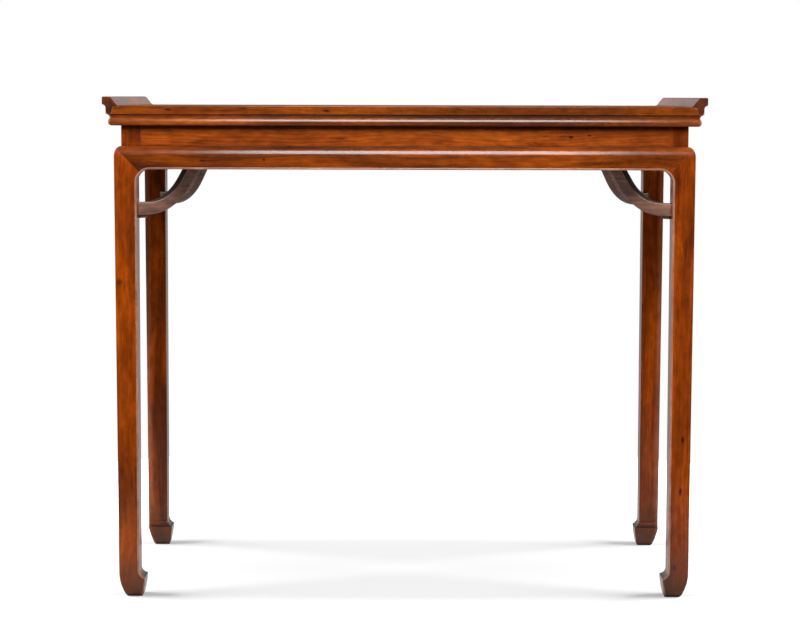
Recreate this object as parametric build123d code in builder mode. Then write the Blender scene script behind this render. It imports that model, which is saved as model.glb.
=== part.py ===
from build123d import *
from math import asin, atan, cos, degrees, radians, sin, tan
import os

# A waisted altar table with everted end flanges and giant's-arm braces, in millimetres.
# The origin is on the floor under the middle of the table; +X runs along the top, the
# front faces -Y and +Z is up. One quarter of the table is drawn and mirrored to the others.
# "half" is a distance from the middle of the table to a face, "inset" a distance inward
# from the outer faces of the legs.

# ---- driving dimensions: the whole table ----
table_height = 850.0  # floor to the tips of the flanges
flange_rise = 15.0  # tips of the flanges above the top's surface
legs_length = 970.0  # over the outer faces of the legs
legs_depth = 449.0
frame_overhang = 11.0  # top frame beyond the legs' outer faces
fit_gap = 0.1  # between faces that are fitted by hand
mitre_gap = 0.15  # upright gap between a leg's mitre and an apron's

# ---- driving dimensions: the top ----
frame_thickness = 33.0
rail_edge = 1.0  # rail beyond its mitre tenon
panel_thickness = 11.0
panel_play = 0.6  # left all round for the panel to swell
tongue_thickness = 5.0
tongue_length = 7.0
batten_width = 30.0
batten_clear = 2.0  # battens stand this much above the frame's underside
dovetail_height = 4.0
dovetail_neck = 12.0
dovetail_head = 16.0
batten_tenon_length = 15.0
batten_tenon_width = 16.0
batten_tenon_height = 9.0
mitre_tenon_width = 6.0
mitre_tenon_height = 12.0
mitre_tenon_lift = 5.5  # above the frame's underside
mitre_tenon_end_inset = 16.0

# ---- driving dimensions: the moulded edge of the frame, from the top down ----
moulding_height = 21.5  # from the frame's underside to the foot of the band
cove_inset = 3.0
cove_height = 3.9
quirk_inset = 4.7
quirk_height = 7.5  # from the foot of the band
crest_inset = 3.7
crest_height = 12.5
roll_inset = 4.8
roll_height = 17.0
nose_inset = 6.4
nose_height = 19.9
underside_inset = 9.6

# ---- driving dimensions: the flanges ----
flange_throw = 6.0  # tip beyond the frame's band
flange_lip = 13.0  # height of the upright outer face
flange_hollow = 6.0  # height of the hollow under the lip
flange_top_width = 14.0
flange_base_width = 28.0
flange_sink = 2.0  # let into the top
flange_seat_width = 17.8
flange_outer_round = 2.4
flange_inner_round = 4.0
flange_key_width = 5.0
flange_key_depth = 5.0
flange_key_half = 150.0

# ---- driving dimensions: waist and aprons ----
waist_height = 34.0
waist_setback = 11.5
waist_thickness = 12.0
waist_tongue_thickness = 6.0
waist_tongue_length = 3.0
waist_end_tongue = 4.0
apron_depth = 38.5
apron_thickness = 24.0
shoulder_height = 12.5
spandrel_radius = 22.0
bead_width = 3.4
bead_proud = 1.2
bead_round = 1.0

# ---- driving dimensions: the legs ----
leg_width = 37.5  # at the aprons
ankle_width = 34.6
post_inset = 44.0  # the posts' inner faces
post_tenon_height = 16.0
post_tenon_long = 12.0
post_tenon_short = 10.0
post_tenon_near = 14.0  # inset of its outer cheek
post_tenon_wall = 2.0  # from its end to the post's inner face
key_inset = 24.0
key_neck = 6.0
key_head = 8.0
key_proud = 5.0
key_height = 18.0
key_drop = 6.0  # below the apron's top
outer_round = 1.6
hoof_height = 34.5
hoof_reach = 9.2
hollow_sweep = 68.0
hoof_base_inset = 14.0
hoof_base_width = 24.5
hoof_belly = 0.9
floor_chamfer = 0.8

# ---- driving dimensions: giant's-arm braces ----
brace_drop = 142.0  # from the battens down to the centre line at the leg
brace_meeting = 17.0  # from the table's middle to the middle of a pad
brace_height = 21.5
brace_width = 14.6
brace_straight = 17.0
brace_radius = 104.0
brace_slope = 52.5
brace_upper_radius = 100.0
brace_pad = 20.0
brace_arris = 1.2
brace_start = 10.0  # stock that is cut to the leg's corner
tenon_width = 7.0
tenon_length = 20.0
tenon_shoulder = 5.0  # below the brace's top face
tenon_hook = 2.5
wedge_height = 5.0
wedge_taper = 0.8
wedge_setback = 2.6
pin_diameter = 6.0
pin_depth = 11.0  # into the batten

# ---- places that follow from them ----
top_surface_height = table_height - flange_rise
mitre_tenon_inset = post_inset
rail_width = frame_overhang + mitre_tenon_inset + mitre_tenon_width + rail_edge
half_length = legs_length / 2
half_depth = legs_depth / 2
frame_half_length = half_length + frame_overhang
frame_half_depth = half_depth + frame_overhang
frame_underside = top_surface_height - frame_thickness
panel_underside = top_surface_height - panel_thickness
apron_top = frame_underside - waist_height
apron_bottom = apron_top - apron_depth
band_foot = frame_underside + moulding_height
opening_half_length = frame_half_length - rail_width
opening_half_depth = frame_half_depth - rail_width
lap_thickness = waist_setback - fit_gap
waist_tongue_inset = waist_setback + (waist_thickness - waist_tongue_thickness) / 2

# The leg's inner face leans by this much from the spandrel to the hollow over the hoof.
hollow_radius = hoof_reach / (1 - cos(radians(hollow_sweep)))
ankle_height = hoof_height + hollow_radius * sin(radians(hollow_sweep))
spandrel_foot = apron_bottom - spandrel_radius
shaft_length = spandrel_foot - ankle_height
lean = atan((leg_width - ankle_width) / shaft_length)
mitre_gap_angle = degrees(fit_gap / spandrel_radius)
mitre_angle = 45.0
quarter_turn = 90.0

# The braces' centre line, measured outward from the leg's inner corner.
batten_bottom = frame_underside + batten_clear
brace_level = batten_bottom - brace_drop
slope = radians(brace_slope)
brace_rise = batten_bottom - brace_height / 2 - brace_level
bends_rise = (brace_radius + brace_upper_radius) * (1 - cos(slope))
brace_ramp = (brace_rise - bends_rise) / sin(slope)
bends_run = (brace_radius + brace_upper_radius) * sin(slope)
brace_run = brace_straight + bends_run + brace_ramp * cos(slope)
pad_middle = brace_run + brace_pad / 2
brace_bottom = brace_level - brace_height / 2
brace_top = brace_level + brace_height / 2
tenon_top_face = brace_top - tenon_shoulder
width_at_brace = leg_width - tan(lean) * (spandrel_foot - brace_level)
corner_x = half_length - width_at_brace
corner_y = half_depth - width_at_brace
pad_y = brace_meeting
plan_angle = asin((corner_y - pad_y) / pad_middle)
pad_x = corner_x - pad_middle * cos(plan_angle)
batten_places = {"left": -pad_x, "middle": 0.0, "right": pad_x}
pin_radius = pin_diameter / 2

# The plane of the back right brace: its x runs from the leg to the batten, its y is up.
brace_plane = Plane(
    origin=(corner_x, corner_y, 0),
    x_dir=(-cos(plan_angle), -sin(plan_angle), 0),
    z_dir=(-sin(plan_angle), cos(plan_angle), 0),
)

# The back right leg's two outer faces: plane, half size along it, sign of "outward".
leg_faces = (
    (Plane.XZ.offset(-half_depth), half_length, -1),
    (Plane.YZ.offset(half_length), half_depth, 1),
)


def block(low, high, mode=Mode.ADD):
    """A box between two opposite corners, in the part being built."""
    with Locations(low):
        size = [b - a for a, b in zip(low, high)]
        Box(*size, align=(Align.MIN, Align.MIN, Align.MIN), mode=mode)


def corner_block(along, across, heights, mode=Mode.ADD):
    """A box in the back right quarter, given by insets along X, insets across and heights."""
    low = (half_length - along[1], half_depth - across[1], heights[0])
    high = (half_length - along[0], half_depth - across[0], heights[1])
    block(low, high, mode)


def frame_outline(half):
    """Cross-section of the whole top, with the moulded edge at both sides."""
    quirk = (half - quirk_inset, band_foot - quirk_height)
    roll = (half - roll_inset, band_foot - roll_height)
    with BuildSketch() as outline:
        with BuildLine():
            Line((0, top_surface_height), (half, top_surface_height))
            Line((half, top_surface_height), (half, band_foot))
            ThreePointArc((half, band_foot), (half - cove_inset, band_foot - cove_height), quirk)
            ThreePointArc(quirk, (half - crest_inset, band_foot - crest_height), roll)
            nose = ThreePointArc(
                roll,
                (half - nose_inset, band_foot - nose_height),
                (half - underside_inset, frame_underside),
            )
            Line(nose @ 1, (0, frame_underside))
            Line((0, frame_underside), (0, top_surface_height))
        make_face()
        mirror(about=Plane.YZ)
    return outline.sketch


def flange_outline():
    """Cross-section of the right flange, with the end band and cove of the frame."""
    tip = frame_half_length + flange_throw
    lip_foot = table_height - flange_lip
    seat = top_surface_height - flange_sink
    quirk = (frame_half_length - quirk_inset, band_foot - quirk_height)
    with BuildSketch() as outline:
        with BuildLine():
            Line((tip, lip_foot), (tip, table_height))
            Line((tip, table_height), (tip - flange_top_width, table_height))
            slope_line = Line(
                (tip - flange_top_width, table_height),
                (tip - flange_base_width, top_surface_height),
            )
            Line(slope_line @ 1, (tip - flange_base_width, seat))
            Line((tip - flange_base_width, seat), (tip - flange_seat_width, seat))
            Line((tip - flange_seat_width, seat), quirk)
            cove_point = (frame_half_length - cove_inset, band_foot - cove_height)
            ThreePointArc(quirk, cove_point, (frame_half_length, band_foot))
            Line((frame_half_length, band_foot), (frame_half_length, lip_foot - flange_hollow))
            hollow_foot = (frame_half_length, lip_foot - flange_hollow)
            TangentArc(hollow_foot, (tip, lip_foot), tangent=(0, 1))
        make_face()
        corners = outline.vertices().group_by(Axis.Y)[-1].sort_by(Axis.X)
        fillet(corners[-1], radius=flange_outer_round)
        corners = outline.vertices().group_by(Axis.Y)[-1].sort_by(Axis.X)
        fillet(corners[0], radius=flange_inner_round)
    return outline.sketch


def shoulder_outline(half):
    """Elevation of all four legs' and aprons' stock: square, with rounded shoulders."""
    centre = (half - waist_setback, apron_top - shoulder_height)
    with BuildSketch() as outline:
        with BuildLine():
            Line((0, 0), (half, 0))
            Line((half, 0), (half, apron_top - shoulder_height))
            EllipticalCenterArc(centre, waist_setback, shoulder_height, arc_size=quarter_turn)
            Line((half - waist_setback, apron_top), (0, apron_top))
            Line((0, apron_top), (0, 0))
        make_face()
        mirror(about=Plane.YZ)
    return outline.sketch


def inner_edge(half, depth=0.0):
    """Spandrel, shaft and hollow of a leg's inner edge, or a line that deep inside it."""
    centre = (half - leg_width - spandrel_radius, spandrel_foot)
    start_angle = mitre_angle - mitre_gap_angle
    turn = start_angle - degrees(lean)
    spandrel = CenterArc(centre, spandrel_radius + depth, start_angle, -turn)
    shaft = PolarLine(spandrel @ 1, shaft_length, direction=spandrel % 1)
    hollow = JernArc(shaft @ 1, shaft % 1, hollow_radius + depth, -hollow_sweep)
    return spandrel @ 0, hollow @ 1


def leg_outline(half):
    """Elevation of one leg with its hoof, its spandrel and its shoulder."""
    base_x = half - hoof_base_inset
    inner_x = base_x - hoof_base_width
    with BuildSketch() as outline:
        with BuildLine():
            mitre_end, tip = inner_edge(half)
            belly = ((tip.X + inner_x) / 2 - hoof_belly, hoof_height / 2)
            ThreePointArc(tip, belly, (inner_x, 0))
            Line((inner_x, 0), (base_x, 0))
            Line((half, apron_top), (half, hoof_height))
            TangentArc((half, hoof_height), (base_x, 0), tangent=(0, -1))
            Line((half, apron_top), (half - leg_width, apron_top))
            Line((half - leg_width, apron_top), (half - leg_width, apron_bottom - fit_gap))
            Line((half - leg_width, apron_bottom - fit_gap), mitre_end)
        make_face()
        add(shoulder_outline(half), mode=Mode.INTERSECT)
    return outline.sketch


def shaft_outline(half):
    """Elevation of one leg without the spandrel, for the part behind the aprons."""
    with BuildSketch() as outline:
        add(leg_outline(half))
        with Locations((half - leg_width, apron_top)):
            Rectangle(
                2 * spandrel_radius,
                apron_top - spandrel_foot + spandrel_radius * sin(lean),
                align=(Align.MAX, Align.MAX),
                mode=Mode.SUBTRACT,
            )
    return outline.sketch


def bead_outline(half):
    """The strip along a leg's inner edge that carries the raised bead."""
    with BuildSketch() as outline:
        with BuildLine():
            edge_start, edge_end = inner_edge(half)
            back_start, back_end = inner_edge(half, bead_width)
            Line(edge_start, back_start)
            Line(edge_end, back_end)
        make_face()
    return outline.sketch


def mitre_outline(half):
    """Everything above the mitre between one leg and one apron."""
    far = half - 2 * leg_width
    with BuildSketch() as outline:
        Polygon(
            (half, apron_top - mitre_gap),
            (half - leg_width, apron_bottom - mitre_gap),
            (far, apron_bottom - mitre_gap),
            (far, apron_top + waist_height),
            (half + leg_width, apron_top + waist_height),
            (half + leg_width, apron_top - mitre_gap),
            align=None,
        )
    return outline.sketch


def apron_edge(half, depth=0.0):
    """Half of an apron's lower edge with its spandrel, or a line that deep inside it."""
    centre = (half - leg_width - spandrel_radius, spandrel_foot)
    spandrel = CenterArc(centre, spandrel_radius + depth, mitre_angle, quarter_turn - mitre_angle)
    straight = Line(spandrel @ 1, (0, apron_bottom + depth))
    return spandrel @ 0, straight @ 1


def apron_outline(half):
    """Elevation of an apron, mitred at both ends."""
    with BuildSketch() as outline:
        with BuildLine():
            mitre_end, middle = apron_edge(half)
            Line(mitre_end, (half - leg_width, apron_bottom))
            Line((half - leg_width, apron_bottom), (half, apron_top))
            Line((half, apron_top), (0, apron_top))
            Line((0, apron_top), middle)
        make_face()
        mirror(about=Plane.YZ)
        add(shoulder_outline(half), mode=Mode.INTERSECT)
    return outline.sketch


def apron_bead_outline(half):
    """The strip along an apron's lower edge that carries the raised bead."""
    with BuildSketch() as outline:
        with BuildLine():
            edge_start, edge_end = apron_edge(half)
            back_start, back_end = apron_edge(half, bead_width)
            Line(edge_start, back_start)
            Line(edge_end, back_end)
        make_face()
        mirror(about=Plane.YZ)
    return outline.sketch


def bead(outline, face, outward):
    """A raised bead with rounded arrises, standing on a face."""
    with BuildPart() as strip:
        with BuildSketch(face):
            add(outline)
        extrude(amount=outward * bead_proud)
        with BuildSketch(face):
            add(outline)
        extrude(amount=-outward * bead_proud)
        axis = Axis((0, 0, 0), tuple(face.z_dir * outward))
        fillet(strip.faces().sort_by(axis)[-1].edges(), radius=bead_round)
    return strip.part


def key_points(half, face_half, grow=0.0):
    """Plan of the dovetailed key on a leg's core, as places along the face and outward."""
    middle = half - key_inset
    core = face_half - waist_setback - grow
    crown = face_half - waist_setback + key_proud + grow
    neck = key_neck / 2 + grow
    head = key_head / 2 + grow
    return (middle - neck, core), (middle + neck, core), (middle + head, crown), (middle - head, crown)


def tenon_outline(bottom, grow=0.0):
    """Elevation of a brace's hooked tenon, or of its mortise down to a lower bottom."""
    with BuildSketch() as outline:
        Polygon(
            (brace_straight / 2, bottom - grow),
            (-tenon_length - grow, bottom - grow),
            (-tenon_length - grow, tenon_top_face + tenon_hook + grow),
            (brace_straight / 2, tenon_top_face + grow),
            align=None,
        )
    return outline.sketch


def brace_side(side):
    """Upper (side 1) or lower (side -1) edge of a brace in its own plane."""
    rise = side * brace_height / 2
    foot = Line((-brace_start, brace_level + rise), (brace_straight, brace_level + rise))
    lower_bend = JernArc(foot @ 1, foot % 1, brace_radius - rise, brace_slope)
    ramp = PolarLine(lower_bend @ 1, brace_ramp, direction=lower_bend % 1)
    upper_bend = JernArc(ramp @ 1, ramp % 1, brace_upper_radius + rise, -brace_slope)
    pad = PolarLine(upper_bend @ 1, brace_pad, direction=upper_bend % 1)
    return foot @ 0, pad @ 1


os.makedirs("parts", exist_ok=True)

# ---- the top: two mitred rails, two flanges, a floating panel and three battens ----
with BuildPart() as frame_blank:
    with BuildSketch(Plane.XZ):
        add(frame_outline(frame_half_length))
    extrude(amount=frame_half_depth, both=True)
    with BuildSketch(Plane.YZ):
        add(frame_outline(frame_half_depth))
    extrude(amount=frame_half_length, both=True, mode=Mode.INTERSECT)

with BuildPart() as right_flange:
    with BuildSketch(Plane.XZ):
        add(flange_outline())
    extrude(amount=frame_half_depth, both=True)
    with BuildSketch(Plane.YZ):
        add(frame_outline(frame_half_depth))
        with Locations((0, table_height)):
            Rectangle(
                2 * frame_half_depth,
                table_height - top_surface_height,
                align=(Align.CENTER, Align.MAX),
            )
    extrude(amount=frame_half_length + flange_throw, both=True, mode=Mode.INTERSECT)
    key_x = frame_half_length + flange_throw - flange_seat_width
    seat_height = top_surface_height - flange_sink
    block(
        (key_x - flange_key_width, -flange_key_half, seat_height - flange_key_depth),
        (key_x, flange_key_half, seat_height),
    )

with BuildPart() as flange_seat:
    with BuildSketch(Plane.XZ):
        add(flange_outline())
        offset(amount=fit_gap, kind=Kind.INTERSECTION)
    extrude(amount=frame_half_depth + rail_width, both=True)

with BuildPart() as right_rail:
    add(frame_blank.part)
    with BuildSketch(Plane.XY.offset(frame_underside)):
        Polygon(
            (frame_half_length, frame_half_depth),
            (frame_half_length, -frame_half_depth),
            (opening_half_length, -opening_half_depth),
            (opening_half_length, opening_half_depth),
            align=None,
        )
    extrude(amount=frame_thickness, mode=Mode.INTERSECT)
    add(flange_seat.part, mode=Mode.SUBTRACT)
    block(
        (
            key_x - flange_key_width - fit_gap,
            -flange_key_half - fit_gap,
            seat_height - flange_key_depth - fit_gap,
        ),
        (key_x + fit_gap, flange_key_half + fit_gap, top_surface_height),
        mode=Mode.SUBTRACT,
    )

with BuildPart() as back_rail:
    add(frame_blank.part)
    with BuildSketch(Plane.XY.offset(frame_underside)):
        Polygon(
            (frame_half_length - fit_gap, frame_half_depth),
            (opening_half_length - fit_gap, opening_half_depth),
            (-opening_half_length + fit_gap, opening_half_depth),
            (-frame_half_length + fit_gap, frame_half_depth),
            align=None,
        )
    extrude(amount=frame_thickness, mode=Mode.INTERSECT)
    add(flange_seat.part, mode=Mode.SUBTRACT)
    mirror(flange_seat.part, about=Plane.YZ, mode=Mode.SUBTRACT)

# Grooves for the panel's tongue, run round the inside of all four rails.
groove_reach = tongue_length + fit_gap
with BuildPart() as panel_groove:
    block(
        (
            -opening_half_length - groove_reach,
            -opening_half_depth - groove_reach,
            panel_underside - fit_gap,
        ),
        (
            opening_half_length + groove_reach,
            opening_half_depth + groove_reach,
            panel_underside + tongue_thickness + fit_gap,
        ),
    )

# Grooves for the waist boards' upper tongues, under the rails and between the posts.
groove_near = waist_tongue_inset - fit_gap
groove_far = waist_tongue_inset + waist_tongue_thickness + fit_gap
waist_groove_top = frame_underside + waist_tongue_length + fit_gap
waist_reach_x = half_length - post_inset
waist_reach_y = half_depth - post_inset
with BuildPart() as waist_grooves:
    block(
        (-waist_reach_x, half_depth - groove_far, frame_underside),
        (waist_reach_x, half_depth - groove_near, waist_groove_top),
    )
    block(
        (half_length - groove_far, -waist_reach_y, frame_underside),
        (half_length - groove_near, waist_reach_y, waist_groove_top),
    )

# The posts' tenons: one under the long rail, one under the short rail, each side of the mitre.
tenon_far_end = post_inset - post_tenon_wall
post_tenon_far = tenon_far_end - post_tenon_long
tenon_near_side = post_tenon_near + post_tenon_short
tenon_top = frame_underside + post_tenon_height
post_tenons = (
    ((post_tenon_far, tenon_far_end), (post_tenon_near, tenon_near_side)),
    ((post_tenon_near, tenon_near_side), (post_tenon_far, tenon_far_end)),
)
with BuildPart() as right_post_mortises:
    for along, across in post_tenons:
        corner_block(
            (along[0] - fit_gap, along[1] + fit_gap),
            (across[0] - fit_gap, across[1] + fit_gap),
            (frame_underside, tenon_top + fit_gap),
        )
    mirror(about=Plane.XZ)

with BuildPart() as post_mortises:
    add(right_post_mortises.part)
    mirror(about=Plane.YZ)

# The mitre tenons of the long rails.
mitre_tenon_bottom = frame_underside + mitre_tenon_lift
mitre_tenon_top = mitre_tenon_bottom + mitre_tenon_height
with BuildPart() as mitre_tenon:
    corner_block(
        (mitre_tenon_end_inset, mitre_tenon_inset + mitre_tenon_width),
        (mitre_tenon_inset, mitre_tenon_inset + mitre_tenon_width),
        (mitre_tenon_bottom, mitre_tenon_top),
    )

with BuildPart() as top_right_rail:
    add(right_rail.part)
    add(panel_groove.part, mode=Mode.SUBTRACT)
    add(waist_grooves.part, mode=Mode.SUBTRACT)
    add(post_mortises.part, mode=Mode.SUBTRACT)
    with BuildSketch(Plane.XY.offset(mitre_tenon_bottom - fit_gap)):
        for side in (-1, 1):
            with Locations((half_length, side * (half_depth - mitre_tenon_inset + fit_gap))):
                Rectangle(
                    2 * (mitre_tenon_inset + mitre_tenon_width),
                    mitre_tenon_width + 2 * fit_gap,
                    align=(Align.CENTER, Align.MAX if side > 0 else Align.MIN),
                )
        with Locations((half_length - mitre_tenon_end_inset + fit_gap, 0)):
            Rectangle(
                legs_length,
                legs_depth,
                align=(Align.MAX, Align.CENTER),
                mode=Mode.INTERSECT,
            )
    extrude(amount=mitre_tenon_height + 2 * fit_gap, mode=Mode.SUBTRACT)

with BuildPart() as top_left_rail:
    mirror(top_right_rail.part, about=Plane.YZ)

batten_tenon_base = batten_bottom + batten_tenon_height / 2
with BuildPart() as top_back_rail:
    add(back_rail.part)
    add(panel_groove.part, mode=Mode.SUBTRACT)
    add(waist_grooves.part, mode=Mode.SUBTRACT)
    add(post_mortises.part, mode=Mode.SUBTRACT)
    add(mitre_tenon.part)
    mirror(mitre_tenon.part, about=Plane.YZ)
    for place in batten_places.values():
        block(
            (
                place - batten_tenon_width / 2 - fit_gap,
                opening_half_depth - fit_gap,
                batten_tenon_base - fit_gap,
            ),
            (
                place + batten_tenon_width / 2 + fit_gap,
                opening_half_depth + batten_tenon_length + fit_gap,
                batten_tenon_base + batten_tenon_height + fit_gap,
            ),
            mode=Mode.SUBTRACT,
        )

with BuildPart() as top_front_rail:
    mirror(top_back_rail.part, about=Plane.XZ)

with BuildPart() as left_flange:
    mirror(right_flange.part, about=Plane.YZ)


def dovetail_section(place, grow=0.0):
    """Dovetail between a batten and the panel, seen from the front."""
    with BuildSketch() as section:
        Polygon(
            (place - dovetail_neck / 2 - grow, panel_underside - fit_gap),
            (place + dovetail_neck / 2 + grow, panel_underside - fit_gap),
            (place + dovetail_head / 2 + grow, panel_underside + dovetail_height + grow),
            (place - dovetail_head / 2 - grow, panel_underside + dovetail_height + grow),
            align=None,
        )
    return section.sketch


panel_half_length = opening_half_length - panel_play
panel_half_depth = opening_half_depth - panel_play
tongue_half_length = opening_half_length + tongue_length - panel_play
tongue_half_depth = opening_half_depth + tongue_length - panel_play
with BuildPart() as top_panel:
    block(
        (-panel_half_length, -panel_half_depth, panel_underside),
        (panel_half_length, panel_half_depth, top_surface_height),
    )
    block(
        (-tongue_half_length, -tongue_half_depth, panel_underside),
        (tongue_half_length, tongue_half_depth, panel_underside + tongue_thickness),
    )
    with BuildSketch(Plane.XZ):
        for place in batten_places.values():
            add(dovetail_section(place, fit_gap))
    extrude(amount=frame_half_depth, both=True, mode=Mode.SUBTRACT)

batten_half = opening_half_depth - fit_gap
top_battens = []
for side, place in batten_places.items():
    with BuildPart() as batten:
        block(
            (place - batten_width / 2, -batten_half, batten_bottom),
            (place + batten_width / 2, batten_half, panel_underside - fit_gap),
        )
        block(
            (
                place - batten_tenon_width / 2,
                -opening_half_depth - batten_tenon_length,
                batten_tenon_base,
            ),
            (
                place + batten_tenon_width / 2,
                opening_half_depth + batten_tenon_length,
                batten_tenon_base + batten_tenon_height,
            ),
        )
        with BuildSketch(Plane.XZ):
            add(dovetail_section(place))
        extrude(amount=batten_half, both=True)
        for way in (-1, 1):
            if side != "middle":
                with Locations((place, way * pad_y, batten_bottom)):
                    Cylinder(
                        pin_radius + fit_gap,
                        2 * (pin_depth + fit_gap),
                        mode=Mode.SUBTRACT,
                    )
    batten.part.label = f"top_{side}_batten"
    top_battens.append(batten.part)

# ---- the waist boards ----
waist_bottom = apron_top + fit_gap / 2
waist_top = frame_underside - fit_gap / 2


def waist_board(reach, half):
    """A board along X at the back: reach is half its length, half its outer face's place."""
    face = half - waist_setback
    tongue_face = half - waist_tongue_inset
    end = reach - fit_gap
    with BuildPart() as board:
        block((-end, face - waist_thickness, waist_bottom), (end, face, waist_top))
        block(
            (-end, tongue_face - waist_tongue_thickness, apron_top - waist_tongue_length),
            (end, tongue_face, frame_underside + waist_tongue_length),
        )
        block(
            (-end - waist_end_tongue, tongue_face - waist_tongue_thickness, waist_bottom),
            (end + waist_end_tongue, tongue_face, waist_top),
        )
    return board.part


with BuildPart() as back_waist_board:
    add(waist_board(waist_reach_x, half_depth))
with BuildPart() as front_waist_board:
    mirror(back_waist_board.part, about=Plane.XZ)
with BuildPart() as right_waist_board:
    add(waist_board(waist_reach_y, half_length), rotation=(0, 0, -quarter_turn))
with BuildPart() as left_waist_board:
    mirror(right_waist_board.part, about=Plane.YZ)


# ---- the aprons ----
def apron(length_half, face_half):
    """An apron along X at the back, mitred to the legs and hung on their keys."""
    face = Plane.XZ.offset(-face_half)
    behind = face_half - lap_thickness
    with BuildPart() as board:
        with BuildSketch(face):
            add(apron_outline(length_half))
        extrude(amount=apron_thickness)
        add(bead(apron_bead_outline(length_half), face, -1))
        with BuildSketch(Plane.YZ):
            add(shoulder_outline(face_half))
            with Locations((face_half, apron_bottom)):
                Rectangle(2 * bead_proud, 2 * spandrel_radius)
        extrude(amount=length_half, both=True, mode=Mode.INTERSECT)
        with BuildSketch(Plane.XY):
            Polygon(
                (length_half + bead_proud - fit_gap, face_half + bead_proud),
                (length_half - apron_thickness - fit_gap, face_half - apron_thickness),
                (-length_half + apron_thickness + fit_gap, face_half - apron_thickness),
                (-length_half - bead_proud + fit_gap, face_half + bead_proud),
                align=None,
            )
        extrude(amount=apron_top, mode=Mode.INTERSECT)
        for side in (-1, 1):
            inner = side * (length_half - post_inset - fit_gap)
            outer = side * (length_half + bead_proud)
            block(
                (min(inner, outer), behind - apron_thickness, apron_bottom - fit_gap),
                (max(inner, outer), behind, apron_top),
                mode=Mode.SUBTRACT,
            )
        block(
            (
                -length_half + post_inset,
                face_half - groove_far,
                apron_top - waist_tongue_length - fit_gap,
            ),
            (length_half - post_inset, face_half - groove_near, apron_top),
            mode=Mode.SUBTRACT,
        )
        with BuildSketch(Plane.XY.offset(spandrel_foot)):
            Polygon(*key_points(length_half, face_half, fit_gap), align=None)
            mirror(about=Plane.YZ)
        extrude(amount=apron_top - key_drop + fit_gap - spandrel_foot, mode=Mode.SUBTRACT)
    return board.part


with BuildPart() as back_apron:
    add(apron(half_length, half_depth))
with BuildPart() as front_apron:
    mirror(back_apron.part, about=Plane.XZ)
with BuildPart() as right_apron:
    add(apron(half_depth, half_length), rotation=(0, 0, -quarter_turn))
with BuildPart() as left_apron:
    mirror(right_apron.part, about=Plane.YZ)

# ---- the braces, their wedges and pins, in the back right quarter ----
with BuildPart() as brace:
    with BuildSketch(brace_plane):
        with BuildLine():
            upper_start, upper_end = brace_side(1)
            lower_start, lower_end = brace_side(-1)
            Line(upper_start, lower_start)
            Line(upper_end, lower_end)
        make_face()
    extrude(amount=brace_width / 2, both=True)
    ends = brace.faces().filter_by(GeomType.PLANE).sort_by(Axis((0, 0, 0), tuple(brace_plane.x_dir)))
    end_edges = ends[0].edges() + ends[-1].edges()
    chamfer([edge for edge in brace.edges() if edge not in end_edges], length=brace_arris)
    block(
        (corner_x - fit_gap, corner_y - fit_gap, brace_bottom - brace_height),
        (half_length, half_depth, brace_top + brace_height),
        mode=Mode.SUBTRACT,
    )
    with BuildSketch(brace_plane):
        add(tenon_outline(brace_bottom))
    extrude(amount=tenon_width / 2, both=True)
    with Locations((pad_x, pad_y, batten_bottom)):
        Cylinder(pin_radius + fit_gap, 3 * brace_height, mode=Mode.SUBTRACT)

with BuildPart() as wedge:
    with BuildSketch(brace_plane):
        Polygon(
            (-wedge_setback, brace_bottom - fit_gap),
            (-tenon_length + wedge_setback, brace_bottom - fit_gap),
            (-tenon_length + wedge_setback, brace_bottom - wedge_height + wedge_taper),
            (-wedge_setback, brace_bottom - wedge_height),
            align=None,
        )
    extrude(amount=tenon_width / 2, both=True)

with BuildPart() as pin:
    with Locations((pad_x, pad_y, batten_bottom - brace_height)):
        Cylinder(
            pin_radius,
            brace_height + pin_depth,
            align=(Align.CENTER, Align.CENTER, Align.MIN),
        )

# ---- the legs ----
with BuildPart() as leg:
    with BuildSketch(Plane.XZ):
        add(shaft_outline(half_length))
    extrude(amount=-half_depth)
    with BuildSketch(Plane.YZ):
        add(shaft_outline(half_depth))
    extrude(amount=half_length, mode=Mode.INTERSECT)
    outer_edges = leg.edges().filter_by(
        lambda edge: edge.length > hoof_height / 2
        and abs((half_length - edge.center().X) - (half_depth - edge.center().Y)) < fit_gap
        and half_length - edge.center().X < waist_setback
    )
    fillet(outer_edges, radius=outer_round)
    chamfer(leg.faces().sort_by(Axis.Z)[0].edges(), length=floor_chamfer)
    for face, half, outward in leg_faces:
        with BuildSketch(face):
            add(leg_outline(half))
            with Locations((half - leg_width + outer_round, apron_top)):
                Rectangle(
                    2 * spandrel_radius,
                    apron_top - spandrel_foot + spandrel_radius * sin(lean),
                    align=(Align.MAX, Align.MAX),
                    mode=Mode.INTERSECT,
                )
        extrude(amount=-outward * apron_thickness)
        add(bead(bead_outline(half), face, outward))
    for face, half, outward in leg_faces:
        with BuildSketch(face.offset(outward * 2 * bead_proud)):
            add(mitre_outline(half))
        extrude(amount=-outward * (waist_setback + 2 * bead_proud), mode=Mode.SUBTRACT)
    corner_block(
        (waist_setback, post_inset),
        (waist_setback, post_inset),
        (apron_bottom, frame_underside),
    )
    for along, across in post_tenons:
        corner_block(along, across, (frame_underside, tenon_top))
    groove = (post_inset - waist_end_tongue - fit_gap, post_inset)
    groove_floor = apron_top - waist_tongue_length - fit_gap
    for along, across in (
        (groove, (groove_near, groove_far)),
        ((groove_near, groove_far), groove),
    ):
        corner_block(along, across, (groove_floor, frame_underside), mode=Mode.SUBTRACT)
    with BuildSketch(Plane.XY.offset(apron_top - key_drop - key_height)):
        Polygon(*key_points(half_length, half_depth), align=None)
        side_points = key_points(half_depth, half_length)
        Polygon(*[(outward, along) for along, outward in side_points], align=None)
    extrude(amount=key_height)
    with BuildSketch(brace_plane):
        add(tenon_outline(brace_bottom - wedge_height, fit_gap))
    extrude(amount=tenon_width / 2 + fit_gap, both=True, mode=Mode.SUBTRACT)

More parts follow.
